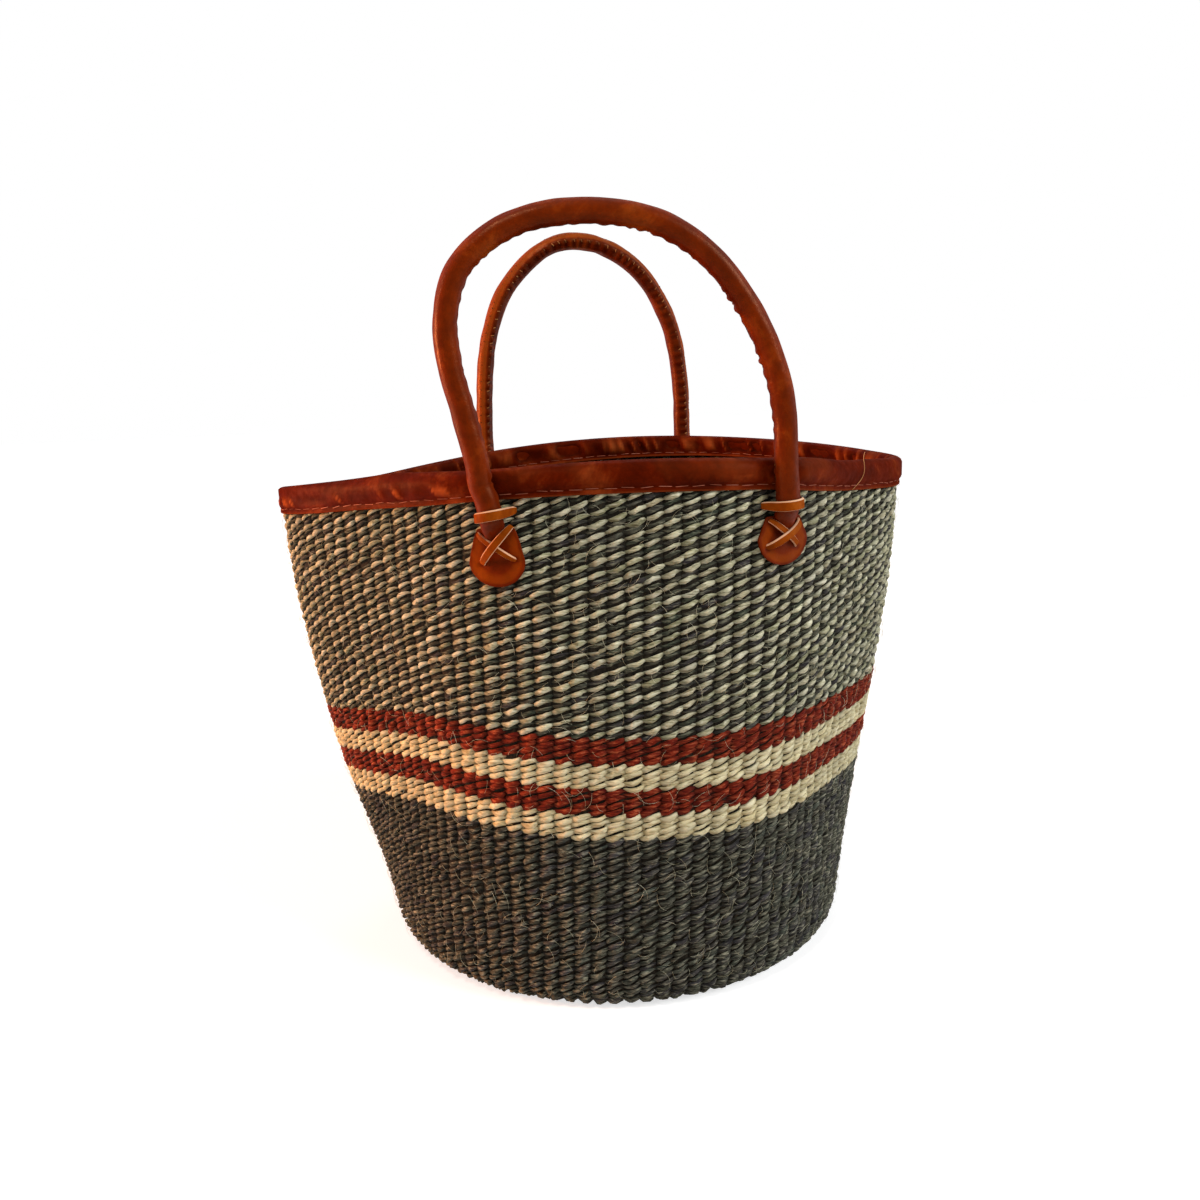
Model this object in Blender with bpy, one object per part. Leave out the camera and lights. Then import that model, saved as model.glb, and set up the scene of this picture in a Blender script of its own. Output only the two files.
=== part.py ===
"""A kiondo basket: a twined sisal body with a bound leather rim and two tubular leather handles.

Metres, +Z up. The origin is the middle of the round base, on the floor. +X points along the
mouth's long side, and the front, where the wall carries the front handle, faces -Y.
A place on the wall is an angle round the basket, from +X towards +Y, and a share of its height.
"""
import math

import bpy
import bmesh
from mathutils import Vector

# Body
basket_height = 0.280
base_radius = 0.134
base_corner = 0.016
mouth_half_length = 0.177
mouth_half_depth = 0.140
mouth_turn = math.radians(3.7)
mouth_shift_x = 0.002
mouth_shift_y = 0.007
wall = 0.0045
gap = 0.0003

# How the wall swells between base and mouth, and how far from an even oval it has slumped.
# The wave shares are the cosine and sine parts of the waves with that many crests.
belly_share = 0.44
belly_low_share = -0.53
slump_shares = {3: (-0.014, 0.019), 4: (0.020, 0.0), 5: (-0.012, 0.005), 6: (0.018, -0.015)}
slump_full_share = 0.45
row_rise = 0.005
row_rise_shares = {1: (0.70, -0.44), 2: (0.38, 0.96), 3: (0.0, -0.34), 4: (-0.34, 0.18)}
rim_rise = 0.006
rim_rise_shares = {1: (0.48, 0.0), 2: (-0.97, 0.40)}

# Coloured bands, from the floor up
grey_height = 0.0962
stripe_height = 0.0130

# Rim: the folded warp ends make a roll, and a folded leather strip covers it
rim_roll_radius = 0.0030
leather = 0.0012
binding_drop = 0.0145

# Handles. The arch shares are places along and above the hinge, as shares of half the spread
# between the legs and of the arch's rise.
tube_radius = 0.0058
rope_radius = 0.0040
hinge_rise = 0.0045
binding_clearance = 0.0010
front_spread_middle = 0.00225
front_half_spread = 0.07375
front_rise = 0.1110
front_arch_shares = (
    (-1.0, 0.0), (-1.068, 0.216), (-1.13, 0.40), (-1.14, 0.60), (-1.03, 0.80), (-0.72, 0.95),
    (-0.29, 1.0), (0.17, 0.955), (0.52, 0.81), (0.78, 0.58), (0.93, 0.35), (0.99, 0.16), (1.0, 0.0),
)
back_spread_middle = 0.00325
back_half_spread = 0.07175
back_rise = 0.1335
back_arch_shares = (
    (-1.0, 0.0), (-0.985, 0.19), (-0.955, 0.375), (-0.89, 0.55), (-0.73, 0.755), (-0.42, 0.93),
    (-0.10, 1.0), (0.29, 0.96), (0.65, 0.81), (0.90, 0.555), (0.99, 0.27), (1.0, 0.0),
)

# Anchors, from the rim down: the keeper, the patch and the laces that cross on it. A drop is how
# far below the rim's top a piece lies, and a seat is where its middle is along the wall.
keeper_space = 0.0044
keeper_height = 0.0052
keeper_clearance = 0.0008
slit_space = 0.0014
patch_space = 0.0044
patch_height = 0.0255
patch_half_width = 0.0126
patch_neck_half_width = 0.0092
patch_thickness = 0.0015
lace_half_length = 0.0094
lace_width = 0.0036
lace_rise = 0.0034
lace_slope = math.radians(42)
lace_place_share = 0.325
front_left_seat = -0.0640
front_right_seat = 0.0745
back_left_seat = -0.0640
back_right_seat = 0.0735
left_patch_share = 1.05
right_patch_share = 0.95
tie_half_length = 0.0082
tie_height = 0.0036
tie_knot_radius = 0.0020
tie_knot_spread_share = 0.33
tie_clearance = 0.0007

# A handle's end, from its tip up. The tip's stations are shares of the way from the keeper to
# the laces, those above the keeper are shares of its drop, and how wide and deep the end is
# there are shares of the tube.
end_tip_shares = (0.87, 0.76, 0.59, 0.365)
end_top_shares = (1.0, 0.62, 0.30)
end_width_shares = (0.16, 0.32, 0.50, 0.74, 0.95, 1.0, 1.0)
end_depth_shares = (0.14, 0.22, 0.34, 0.56, 0.92, 1.0, 1.0)

# The patch's neck, as shares of its half width and its height, from the side to the top edge,
# and its rings, as shares of its spread and its thickness, from the middle of its back to its front
patch_round_share = 0.98
patch_neck_shares = (0.30, 0.06, 0.0)
patch_top_width_share = 0.88
patch_middle_share = 0.52
patch_ring_shares = (
    (0.34, 0.0), (0.68, 0.0), (0.97, 0.0), (1.0, 0.25), (1.0, 0.75), (0.96, 1.0), (0.68, 1.0), (0.34, 1.0),
)

# What follows from the sizes above
keeper_drop = binding_drop + keeper_space + keeper_height / 2
patch_top_drop = keeper_drop + keeper_height / 2 + patch_space
lace_drop = patch_top_drop + patch_height * lace_place_share
keeper_half_width = tube_radius + keeper_clearance + leather + slit_space
roll_drop = leather + gap + rim_roll_radius
roll_bottom = roll_drop + rim_roll_radius
tube_on_patch = gap + patch_thickness + gap
tube_on_leaf = gap + leather + gap
tube_on_roll = rim_roll_radius + gap + leather - wall / 2 + gap
sleeve_thickness = tube_radius - rope_radius - gap

# How finely round forms are divided
wall_sides = 48
tube_sides = 12
rope_sides = 8
arch_steps = 28
arc_steps = 8
ball_steps = 3
corner_rings = 4
search_steps = 40

for old in list(bpy.data.objects):
    bpy.data.objects.remove(old, do_unlink=True)


def waves(shares, angle):
    """The sum of the waves in a table of shares, at this angle round the basket."""
    return sum(c * math.cos(n * angle) + s * math.sin(n * angle) for n, (c, s) in shares.items())


def smooth_step(share):
    """Goes from 0 to 1 without a corner."""
    share = min(max(share, 0), 1)
    return share * share * (3 - 2 * share)


def wall_point(angle, share, corner=1):
    """A point of the wall's outer face, at this share of the height.

    corner goes from 0 under the base to 1 where its rounding ends, and below 1 it takes the
    height's place.
    """
    tuck = 0
    height = basket_height * share
    if corner < 1:
        turn = corner * math.pi / 2
        height = base_corner * (1 - math.cos(turn))
        tuck = base_corner * (1 - math.sin(turn))
        share = height / basket_height
    swell = share + share * (1 - share) * (belly_share + belly_low_share * (1 - 2 * share))
    long_side = base_radius + (mouth_half_length - base_radius) * swell
    short_side = base_radius + (mouth_half_depth - base_radius) * swell
    radius = 1 / math.hypot(math.cos(angle) / long_side, math.sin(angle) / short_side)
    radius *= 1 + smooth_step(share / slump_full_share) * waves(slump_shares, angle)
    radius -= tuck
    turned = angle + mouth_turn * share
    rise = share * rim_rise * waves(rim_rise_shares, angle)
    rise += math.sin(math.pi * share) * row_rise * waves(row_rise_shares, angle)
    rise *= min(corner, 1)
    return Vector((
        radius * math.cos(turned) + mouth_shift_x * share,
        radius * math.sin(turned) + mouth_shift_y * share,
        height + rise,
    ))


def wall_normal(angle, share, corner=1):
    """The wall's outward direction, from its neighbouring points."""
    step = math.pi / wall_sides / wall_sides
    along = wall_point(angle + step, share, corner) - wall_point(angle - step, share, corner)
    if corner < 1:
        low, high = max(corner - step, 0), min(corner + step, 1)
        up = wall_point(angle, share, high) - wall_point(angle, share, low)
    else:
        up = wall_point(angle, min(share + step, 1)) - wall_point(angle, share - step)
    return along.cross(up).normalized()


def below_rim(drop):
    """The height's share of a place this far below the rim's top."""
    return 1 - drop / basket_height


def level(way):
    """A direction laid level."""
    return Vector((way.x, way.y, 0)).normalized()


def beside_wall(angle, share, out):
    """A place level with a point of the wall, this far out from it."""
    return wall_point(angle, share) + level(wall_normal(angle, share)) * out


def angle_at(x, share, side, out=0):
    """The angle where a place this far out from the wall has this x, on the front (-1) or back (1)."""
    low, high = (-math.pi, 0) if side < 0 else (math.pi, 0)
    for _ in range(search_steps):
        middle = (low + high) / 2
        if beside_wall(middle, share, out).x < x:
            low = middle
        else:
            high = middle
    return (low + high) / 2


def material(name, colour, roughness):
    made = bpy.data.materials.new(name)
    made.use_nodes = True
    shader = made.node_tree.nodes["Principled BSDF"]
    shader.inputs["Base Color"].default_value = (*colour, 1)
    shader.inputs["Roughness"].default_value = roughness
    shader.inputs["Metallic"].default_value = 0
    made.diffuse_color = (*colour, 1)
    return made


grey_sisal = material("grey_sisal", (0.070, 0.068, 0.052), 0.85)
mottled_sisal = material("mottled_sisal", (0.22, 0.21, 0.135), 0.8)
red_sisal = material("red_sisal", (0.205, 0.030, 0.008), 0.75)
cream_sisal = material("cream_sisal", (0.66, 0.57, 0.32), 0.75)
rim_leather = material("rim_leather", (0.29, 0.055, 0.009), 0.4)
handle_leather = material("handle_leather", (0.30, 0.072, 0.012), 0.35)
patch_leather = material("patch_leather", (0.38, 0.085, 0.012), 0.45)
lace_leather = material("lace_leather", (0.43, 0.115, 0.02), 0.5)
rope_sisal = material("rope_sisal", (0.50, 0.40, 0.22), 0.9)


def skin(name, loops, finish, closed=False, hinge=None):
    """A body from loops with as many points each. A closed one joins its last loop to its first."""
    form = bmesh.new()
    place = hinge.location if hinge else Vector((0, 0, 0))
    rows = [[form.verts.new(Vector(point) - place) for point in loop] for loop in loops]
    following = rows[1:] + rows[:1] if closed else rows[1:]
    for row, after in zip(rows, following):
        for i in range(len(row)):
            j = (i + 1) % len(row)
            form.faces.new((row[i], row[j], after[j], after[i]))
    if not closed:
        form.faces.new(rows[0])
        form.faces.new(rows[-1])
    bmesh.ops.recalc_face_normals(form, faces=form.faces)
    made = finished(name, form, finish)
    made.parent = hinge


def finished(name, form, finish):
    """An object of this form, shaded smooth but for its sharp edges."""
    mesh = bpy.data.meshes.new(name)
    form.to_mesh(mesh)
    form.free()
    mesh.shade_smooth()
    mesh.set_sharp_from_angle(angle=math.radians(50))
    mesh.materials.append(finish)
    made = bpy.data.objects.new(name, mesh)
    bpy.context.scene.collection.objects.link(made)
    return made


def wall_angles():
    return [2 * math.pi * i / wall_sides for i in range(wall_sides)]


def band(name, bottom, top, rings, finish, first_steps=()):
    """A ring of the wall between two shares of its height, as thick as the wall.

    first_steps are places on the base's rounded corner, which the lowest band begins with.
    """
    steps = list(first_steps)
    steps += [(bottom + (top - bottom) * i / rings, 1) for i in range(rings + 1)]
    loops = []
    for angle in wall_angles():
        outer = [wall_point(angle, share, corner) for share, corner in steps]
        inner = [point - wall_normal(angle, *step) * wall for point, step in zip(outer, steps)]
        loops.append(outer + inner[::-1])
    skin(name, loops, finish, closed=True)


def base_disc():
    """The flat round start of the weave, inside the wall's rounded corner."""
    radius = base_radius - base_corner - gap
    form = bmesh.new()
    bmesh.ops.create_cone(
        form, cap_ends=True, segments=wall_sides, radius1=radius, radius2=radius, depth=wall)
    bmesh.ops.translate(form, verts=form.verts, vec=(0, 0, wall / 2))
    finished("base_disc", form, grey_sisal)


def body():
    """The base and the bands of the wall, each a little short of the next."""
    base_disc()
    half_gap = gap / 2 / basket_height
    grey_top = grey_height / basket_height
    stripe = stripe_height / basket_height
    corner_steps = [(0, i / corner_rings) for i in range(corner_rings)]
    band("grey_band", base_corner / basket_height, grey_top - half_gap, 3, grey_sisal, corner_steps)
    names = ("cream_band_lower", "red_band_lower", "cream_band_upper", "red_band_upper")
    for number, name in enumerate(names):
        bottom = grey_top + stripe * number
        finish = red_sisal if "red" in name else cream_sisal
        band(name, bottom + half_gap, bottom + stripe - half_gap, 1, finish)
    mottled_bottom = grey_top + len(names) * stripe + half_gap
    band("mottled_band", mottled_bottom, below_rim(roll_bottom + gap), 4, mottled_sisal)


def rim_arc(radius, lowest, count):
    """Places on an arc over the roll, from the outer leaf to the inner one, as (drop, out)."""
    turns = [lowest + (math.pi - 2 * lowest) * i / count for i in range(count + 1)]
    return [(roll_drop - radius * math.sin(turn), radius * math.cos(turn) - wall / 2) for turn in turns]


def rim():
    """The roll of folded warp ends, and the leather strip folded over it."""
    inside = rim_roll_radius + gap
    outside = inside + leather
    leaf = wall / 2 + gap
    profile = [(binding_drop, gap + leather)]
    profile += rim_arc(outside, -math.acos((leaf + leather) / outside), arc_steps)
    profile += [(binding_drop, -wall - gap - leather), (binding_drop, -wall - gap)]
    profile += rim_arc(inside, -math.acos(leaf / inside), arc_steps - 2)[::-1]
    profile += [(binding_drop, gap)]
    turns = [2 * math.pi * (i + 0.5) / rope_sides for i in range(rope_sides)]
    round_profile = [(roll_drop - rim_roll_radius * math.sin(turn),
                      rim_roll_radius * math.cos(turn) - wall / 2) for turn in turns]
    for name, places, finish in (
            ("rim_roll", round_profile, rope_sisal), ("rim_binding", profile, rim_leather)):
        loops = [[beside_wall(angle, below_rim(drop), out) for drop, out in places]
                 for angle in wall_angles()]
        skin(name, loops, finish, closed=True)


def smooth_route(points, steps):
    """Points at even steps along a smooth curve through the given ones."""
    ends = [points[0] * 2 - points[1]] + points + [points[-1] * 2 - points[-2]]
    fine = []
    for before, start, end, after in zip(ends, ends[1:], ends[2:], ends[3:]):
        for i in range(steps):
            t = i / steps
            fine.append(
                (start * 2 + (end - before) * t + (before * 2 - start * 5 + end * 4 - after) * t ** 2
                 + (start * 3 - before - end * 3 + after) * t ** 3) / 2)
    fine.append(points[-1])
    lengths = [0]
    for start, end in zip(fine, fine[1:]):
        lengths.append(lengths[-1] + (end - start).length)
    route = []
    k = 0
    for i in range(steps + 1):
        wanted = lengths[-1] * i / steps
        while k < len(fine) - 2 and lengths[k + 1] < wanted:
            k += 1
        route.append(fine[k].lerp(fine[k + 1], (wanted - lengths[k]) / (lengths[k + 1] - lengths[k])))
    return route


def circle(centre, across, front, radius, sides, depth=None):
    """A loop round a centre, radius wide along across and depth deep along front."""
    depth = radius if depth is None else depth
    turns = [2 * math.pi * (i + 0.5) / sides for i in range(sides)]
    return [centre + across * radius * math.cos(turn) + front * depth * math.sin(turn) for turn in turns]


def round_end(ball, radius, steps):
    """How far past the end, and how wide, the loops of a ball-shaped end are, down to this radius."""
    last = math.acos(radius / ball)
    turns = [last * i / steps for i in range(1, steps + 1)]
    return [(ball * math.sin(turn), ball * math.cos(turn)) for turn in turns]


def arch_loops(route, radius, ends, sides):
    """Loops along a route that lies in one upright plane, with round ends."""
    front = Vector((0, 1, 0))
    across = Vector((1, 0, 0))
    down = Vector((0, 0, -1))
    loops = [circle(route[0] + down * past, across, front, wide, sides) for past, wide in reversed(ends)]
    loops.append(circle(route[0], across, front, radius, sides))
    for before, point, after in zip(route, route[1:], route[2:]):
        along = (after - before).normalized()
        loops.append(circle(point, front.cross(along), front, radius, sides))
    loops.append(circle(route[-1], -across, front, radius, sides))
    loops += [circle(route[-1] + down * past, -across, front, wide, sides) for past, wide in ends]
    return loops


def hinge_place(side, feet):
    """The middle of a handle's hinge: clear of the rim at both feet, just above its top."""
    stand = tube_on_roll + binding_clearance + tube_radius
    angles = [angle_at(foot, 1, side, stand) for foot in feet]
    outermost = max(beside_wall(angle, 1, stand).y * side for angle in angles)
    top = max(wall_point(angle, 1).z for angle in angles)
    return Vector((0, outermost * side, top + hinge_rise))


def handle(name, side, middle, half_spread, rise, shares, seats):
    """One handle: the arch that swings, and the two ends that the anchors hold to the wall."""
    feet = (middle - half_spread, middle + half_spread)
    place = hinge_place(side, feet)
    hinge = bpy.data.objects.new(name + "_hinge", None)
    hinge.location = place
    bpy.context.scene.collection.objects.link(hinge)
    points = [place + Vector((middle + half_spread * x, 0, rise * z)) for x, z in shares]
    route = smooth_route(points, arch_steps)
    bore = rope_radius + gap
    ends = round_end(tube_radius, bore, ball_steps)
    outer = arch_loops(route, tube_radius, ends[:-1], tube_sides)
    inner = arch_loops(route, bore, ends[-1:], tube_sides)
    skin(name + "_sleeve", outer + inner[::-1], handle_leather, closed=True, hinge=hinge)
    rope_ends = round_end(tube_radius, rope_radius, 1) + round_end(tube_radius, rope_radius / 2, 1)
    skin(name + "_rope", arch_loops(route, rope_radius, rope_ends, rope_sides), rope_sisal, hinge=hinge)
    for end, foot, seat, size in zip(("left", "right"), feet, seats, (left_patch_share, right_patch_share)):
        foot_place = Vector((foot, place.y, place.z))
        anchor(name.replace("handle", end), side, foot_place, seat, size)


def seat_frame(seat, drop, side):
    """A place on the wall, its outward direction and the level direction along it to +X."""
    share = below_rim(drop)
    angle = angle_at(seat, share, side)
    out = wall_normal(angle, share)
    along = level(Vector((-out.y, out.x, 0))) * -side
    return wall_point(angle, share), out, along


def on_wall(seat, drop, out, side):
    """A place this far out from the wall's outer face."""
    place, outward, _ = seat_frame(seat, drop, side)
    return place + outward * out


def end_stations(foot_place, seat, side):
    """The middle of a handle's end, from its tip to its top, with its half width and half depth."""
    drops = [keeper_drop + (lace_drop - keeper_drop) * share for share in end_tip_shares]
    drops += [keeper_drop * share for share in end_top_shares]
    stands = [tube_on_patch] * len(end_tip_shares) + [tube_on_leaf, tube_on_leaf, tube_on_roll]
    foot_seat = wall_point(angle_at(foot_place.x, 1, side, tube_on_roll + tube_radius), 1).x
    stations = []
    for drop, stand, wide, deep in zip(drops, stands, end_width_shares, end_depth_shares):
        x = seat + (foot_seat - seat) * smooth_step(1 - drop / keeper_drop)
        place, outward, _ = seat_frame(x, drop, side)
        depth = tube_radius * deep
        stations.append((place + level(outward) * (stand + depth), tube_radius * wide, depth))
    top = foot_place - Vector((0, 0, tube_radius + gap))
    stations.append((top, tube_radius, tube_radius))
    return stations


def handle_end(name, foot_place, seat, side):
    """The leather end of a handle, open at its top, and the rope's end inside it."""
    _, outward, along = seat_frame(seat, keeper_drop, side)
    outward = level(outward)
    stations = end_stations(foot_place, seat, side)
    outer = [circle(place, along, outward, wide, tube_sides, deep) for place, wide, deep in stations]
    filled = stations[len(end_tip_shares):]
    bore = [circle(place, along, outward, wide - sleeve_thickness, tube_sides, deep - sleeve_thickness)
            for place, wide, deep in filled]
    skin(name + "_handle_end", outer + bore[::-1], handle_leather)
    low, wide, deep = filled[0]
    filled[0] = (low + (filled[1][0] - low).normalized() * 2 * gap, wide, deep)
    less = sleeve_thickness + gap
    rope = [circle(place, along, outward, wide - less, rope_sides, deep - less)
            for place, wide, deep in filled]
    skin(name + "_rope_end", rope, rope_sisal)
    return low


def patch_outline(size):
    """The shield's edge, as places across and below its top edge."""
    half_width = patch_half_width * size
    neck = patch_neck_half_width * size
    height = patch_height * size
    low = half_width * patch_round_share
    turns = [math.pi * i / tube_sides for i in range(tube_sides + 1)]
    outline = [(half_width * math.cos(turn), height - low + low * math.sin(turn)) for turn in turns]
    widths = ((neck + half_width) / 2, neck, neck * patch_top_width_share)
    edge = [(width, height * share) for width, share in zip(widths, patch_neck_shares)]
    return outline + [(-width, down) for width, down in edge] + edge[::-1]


def patch(name, seat, size, side):
    """The leather shield under the crossed laces, bent to the wall."""
    outline = patch_outline(size)
    centre = patch_height * size * patch_middle_share
    loops = []
    for spread_share, thickness_share in patch_ring_shares:
        out = gap + patch_thickness * thickness_share
        loops.append([
            on_wall(seat + x * spread_share, patch_top_drop + centre + (y - centre) * spread_share, out, side)
            for x, y in outline
        ])
    skin(name + "_patch", loops, patch_leather)


def strip_loop(place, across, up):
    """The corners of a flat strip's section, half of whose width and thickness are given."""
    return [place - across - up, place + across - up, place + across + up, place - across + up]


def keeper(name, centre, seat, side):
    """The band that holds a handle's end to the wall, from slit to slit."""
    _, outward, along = seat_frame(seat, keeper_drop, side)
    around = tube_radius + keeper_clearance + leather / 2
    path = []
    for i in range(arc_steps + 1):
        turn = math.pi * (1 - i / arc_steps)
        way = along * math.cos(turn) + outward * math.sin(turn)
        path.append((centre + way * around, way))
    for end in (-1, 1):
        foot, face, _ = seat_frame(seat + end * keeper_half_width, keeper_drop, side)
        stands = [(foot + face * out, along * end) for out in (gap, gap + leather)]
        path = stands + path if end < 0 else path + stands[::-1]
    across = Vector((0, 0, keeper_height / 2))
    loops = [strip_loop(place, across, way * leather / 2) for place, way in path]
    skin(name + "_keeper", loops, lace_leather)


def lace(name, seat, slope, rise, side):
    """A strip that crosses a handle's tip on its patch, arched over the tip."""
    rest = gap + patch_thickness + gap + leather / 2
    _, outward, _ = seat_frame(seat, lace_drop, side)
    places = []
    for i in range(arc_steps + 1):
        share = 2 * i / arc_steps - 1
        run = lace_half_length * share
        out = rest + rise * math.cos(share * math.pi / 2)
        places.append(on_wall(seat + run * math.cos(slope), lace_drop - run * math.sin(slope), out, side))
    loops = []
    for before, place, after in zip(places[:1] + places, places, places[1:] + places[-1:]):
        run = after - before
        across = outward.cross(run).normalized()
        up = run.cross(across).normalized()
        loops.append(strip_loop(place, across * lace_width / 2, up * leather / 2))
    skin(name, loops, lace_leather)


def inner_tie(name, seat, side):
    """The knotted strip inside the wall, which joins the keeper's ends."""
    loops = []
    for i in range(arc_steps + 1):
        share = 2 * i / arc_steps - 1
        knot = tie_knot_radius * math.exp(-(share / tie_knot_spread_share) ** 2)
        place, outward, _ = seat_frame(seat + tie_half_length * share, keeper_drop, side)
        thickness = leather + knot
        middle = place - outward * (wall + tie_clearance + thickness / 2)
        across = Vector((0, 0, (tie_height + knot) / 2))
        loops.append(strip_loop(middle, across, outward * thickness / 2))
    skin(name + "_inner_tie", loops, lace_leather)


def anchor(name, side, foot_place, seat, size):
    """What holds one end of a handle: its end, the keeper, the patch, two laces and the tie inside."""
    centre = handle_end(name, foot_place, seat, side)
    keeper(name, centre, seat, side)
    patch(name, seat, size, side)
    lace(name + "_lace_under", seat, -lace_slope, lace_rise, side)
    lace(name + "_lace_over", seat, lace_slope, lace_rise + leather + 2 * gap, side)
    inner_tie(name, seat, side)


body()
rim()
handle("front_handle", -1, front_spread_middle, front_half_spread, front_rise, front_arch_shares,
       (front_left_seat, front_right_seat))
handle("back_handle", 1, back_spread_middle, back_half_spread, back_rise, back_arch_shares,
       (back_left_seat, back_right_seat))
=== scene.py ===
# %% [markdown]
# # A kiondo basket
# A kiondo is a market basket of sisal. Upright cords, the warps, run from the middle of the base to
# the rim, and pairs of weft strands are twined round them, row on row. Leather binds the rim, and
# two leather tubes with a rope inside are the handles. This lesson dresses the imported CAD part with
# all of that. Everything is in metres, with +Z up, and the front faces -Y.

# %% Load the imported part
import math

import bpy
import numpy as np
from mathutils import Matrix, Vector


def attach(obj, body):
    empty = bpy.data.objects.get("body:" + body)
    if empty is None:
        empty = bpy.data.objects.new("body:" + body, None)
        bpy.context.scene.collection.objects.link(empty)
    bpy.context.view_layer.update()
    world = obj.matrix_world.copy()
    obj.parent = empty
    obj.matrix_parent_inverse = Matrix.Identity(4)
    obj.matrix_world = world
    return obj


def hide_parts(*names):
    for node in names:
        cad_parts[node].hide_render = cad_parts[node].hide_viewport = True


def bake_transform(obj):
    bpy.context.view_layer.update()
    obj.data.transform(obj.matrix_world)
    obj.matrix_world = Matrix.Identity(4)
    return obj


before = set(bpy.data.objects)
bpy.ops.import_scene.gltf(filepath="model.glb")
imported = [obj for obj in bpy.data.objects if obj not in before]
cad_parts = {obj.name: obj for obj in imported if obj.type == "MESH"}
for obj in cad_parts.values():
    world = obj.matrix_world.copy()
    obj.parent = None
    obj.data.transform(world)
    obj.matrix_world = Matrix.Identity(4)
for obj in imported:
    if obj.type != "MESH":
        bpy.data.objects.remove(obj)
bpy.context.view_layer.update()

pi = math.pi
root = "root"

# %% [markdown]
# ## Where the wall is
# The pieces here have to lie on the same wall as the CAD solids, so the wall's driving sizes and its
# formula are repeated. They are written for whole arrays at once, because the weave has half a
# million points. A place on the wall is an angle round the basket and a lift: how far up the wall it
# is, measured along its rounded corner from where the flat base ends. Below 0 the lift goes on along
# the base, towards its middle.

# %% The wall's sizes
basket_height = 0.280
base_radius = 0.134
base_corner = 0.016
mouth_half_length = 0.177
mouth_half_depth = 0.140
mouth_turn = math.radians(3.7)
mouth_shift_x = 0.002
mouth_shift_y = 0.007
wall = 0.0045
gap = 0.0003
belly_share = 0.44
belly_low_share = -0.53
slump_shares = {3: (-0.014, 0.019), 4: (0.020, 0.0), 5: (-0.012, 0.005), 6: (0.018, -0.015)}
slump_full_share = 0.45
row_rise = 0.005
row_rise_shares = {1: (0.70, -0.44), 2: (0.38, 0.96), 3: (0.0, -0.34), 4: (-0.34, 0.18)}
rim_rise = 0.006
rim_rise_shares = {1: (0.48, 0.0), 2: (-0.97, 0.40)}
corner_length = base_corner * pi / 2
wall_lift = corner_length + basket_height - base_corner


def waves(shares, angle):
    return sum(c * np.cos(n * angle) + s * np.sin(n * angle) for n, (c, s) in shares.items())


def smooth_step(share):
    share = np.clip(share, 0, 1)
    return share * share * (3 - 2 * share)


def wall_place(angle, lift):
    """Points of the wall's outer face, for arrays of angles and lifts."""
    angle, lift = np.broadcast_arrays(np.asarray(angle, float), np.asarray(lift, float))
    turn = np.clip(lift / corner_length, 0, 1) * pi / 2
    height = base_corner * (1 - np.cos(turn)) + np.maximum(lift - corner_length, 0)
    tuck = base_corner * (1 - np.sin(turn)) - np.minimum(lift, 0)
    share = height / basket_height
    swell = share + share * (1 - share) * (belly_share + belly_low_share * (1 - 2 * share))
    long_side = base_radius + (mouth_half_length - base_radius) * swell
    short_side = base_radius + (mouth_half_depth - base_radius) * swell
    radius = 1 / np.hypot(np.cos(angle) / long_side, np.sin(angle) / short_side)
    radius = radius * (1 + smooth_step(share / slump_full_share) * waves(slump_shares, angle)) - tuck
    turned = angle + mouth_turn * share
    rise = share * rim_rise * waves(rim_rise_shares, angle)
    rise = rise + np.sin(pi * share) * row_rise * waves(row_rise_shares, angle)
    rise = rise * np.clip(lift / corner_length, 0, 1)
    return np.stack([
        radius * np.cos(turned) + mouth_shift_x * share,
        radius * np.sin(turned) + mouth_shift_y * share,
        height + rise,
    ], -1)


def unit(ways):
    return ways / np.linalg.norm(ways, axis=-1, keepdims=True)


def run_along(line):
    """How far along a line each of its points lies."""
    return np.concatenate([[0], np.cumsum(np.linalg.norm(np.diff(line, axis=0), axis=1))])


def wall_out(angle, lift):
    """The wall's outward directions."""
    step = 0.0002
    along = wall_place(np.add(angle, step * 5), lift) - wall_place(np.add(angle, -step * 5), lift)
    up = wall_place(angle, np.add(lift, step)) - wall_place(angle, np.add(lift, -step))
    return unit(np.cross(along, up))


def level(ways):
    """Directions laid level."""
    return unit(ways * np.array([1, 1, 0]))


def beside(angle, lift, out):
    """Points level with the wall's outer face, this far out from it."""
    return wall_place(angle, lift) + level(wall_out(angle, lift)) * np.asarray(out)[..., None]


def lift_below(drop):
    """The lift of a place this far below the rim's top."""
    return wall_lift - np.asarray(drop, float)


corners = np.array([v.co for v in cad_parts["mottled_band"].data.vertices])
angles = np.linspace(0, 2 * pi, 1440)
lifts = np.linspace(wall_lift - 0.14, wall_lift, 300)
cloud = wall_place(angles[None, :], lifts[:, None]).reshape(-1, 3)
far = max(np.sqrt(((cloud - corner) ** 2).sum(1).min()) for corner in corners[::9])
print(f"CAD corners lie up to {far * 1000:.1f} mm from the outer face; the wall is {wall * 1000} mm thick")

# %% [markdown]
# ## Camera and lamps
# The camera stands where the photograph was taken from: the rim, the stripes and the handles were
# fitted to it. The light is plain: a warm soft lamp low on the left, a cooler one from the right and
# weak ones from the top and the back. A small lamp on the left gives the leather its shine.

# %% Camera
camera_place = Vector((-0.0642, -0.6456, 0.3150))
camera_yaw = 0.0933
camera_pitch = -0.1838
camera_roll = -0.0383
camera_lens = 32.53

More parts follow.
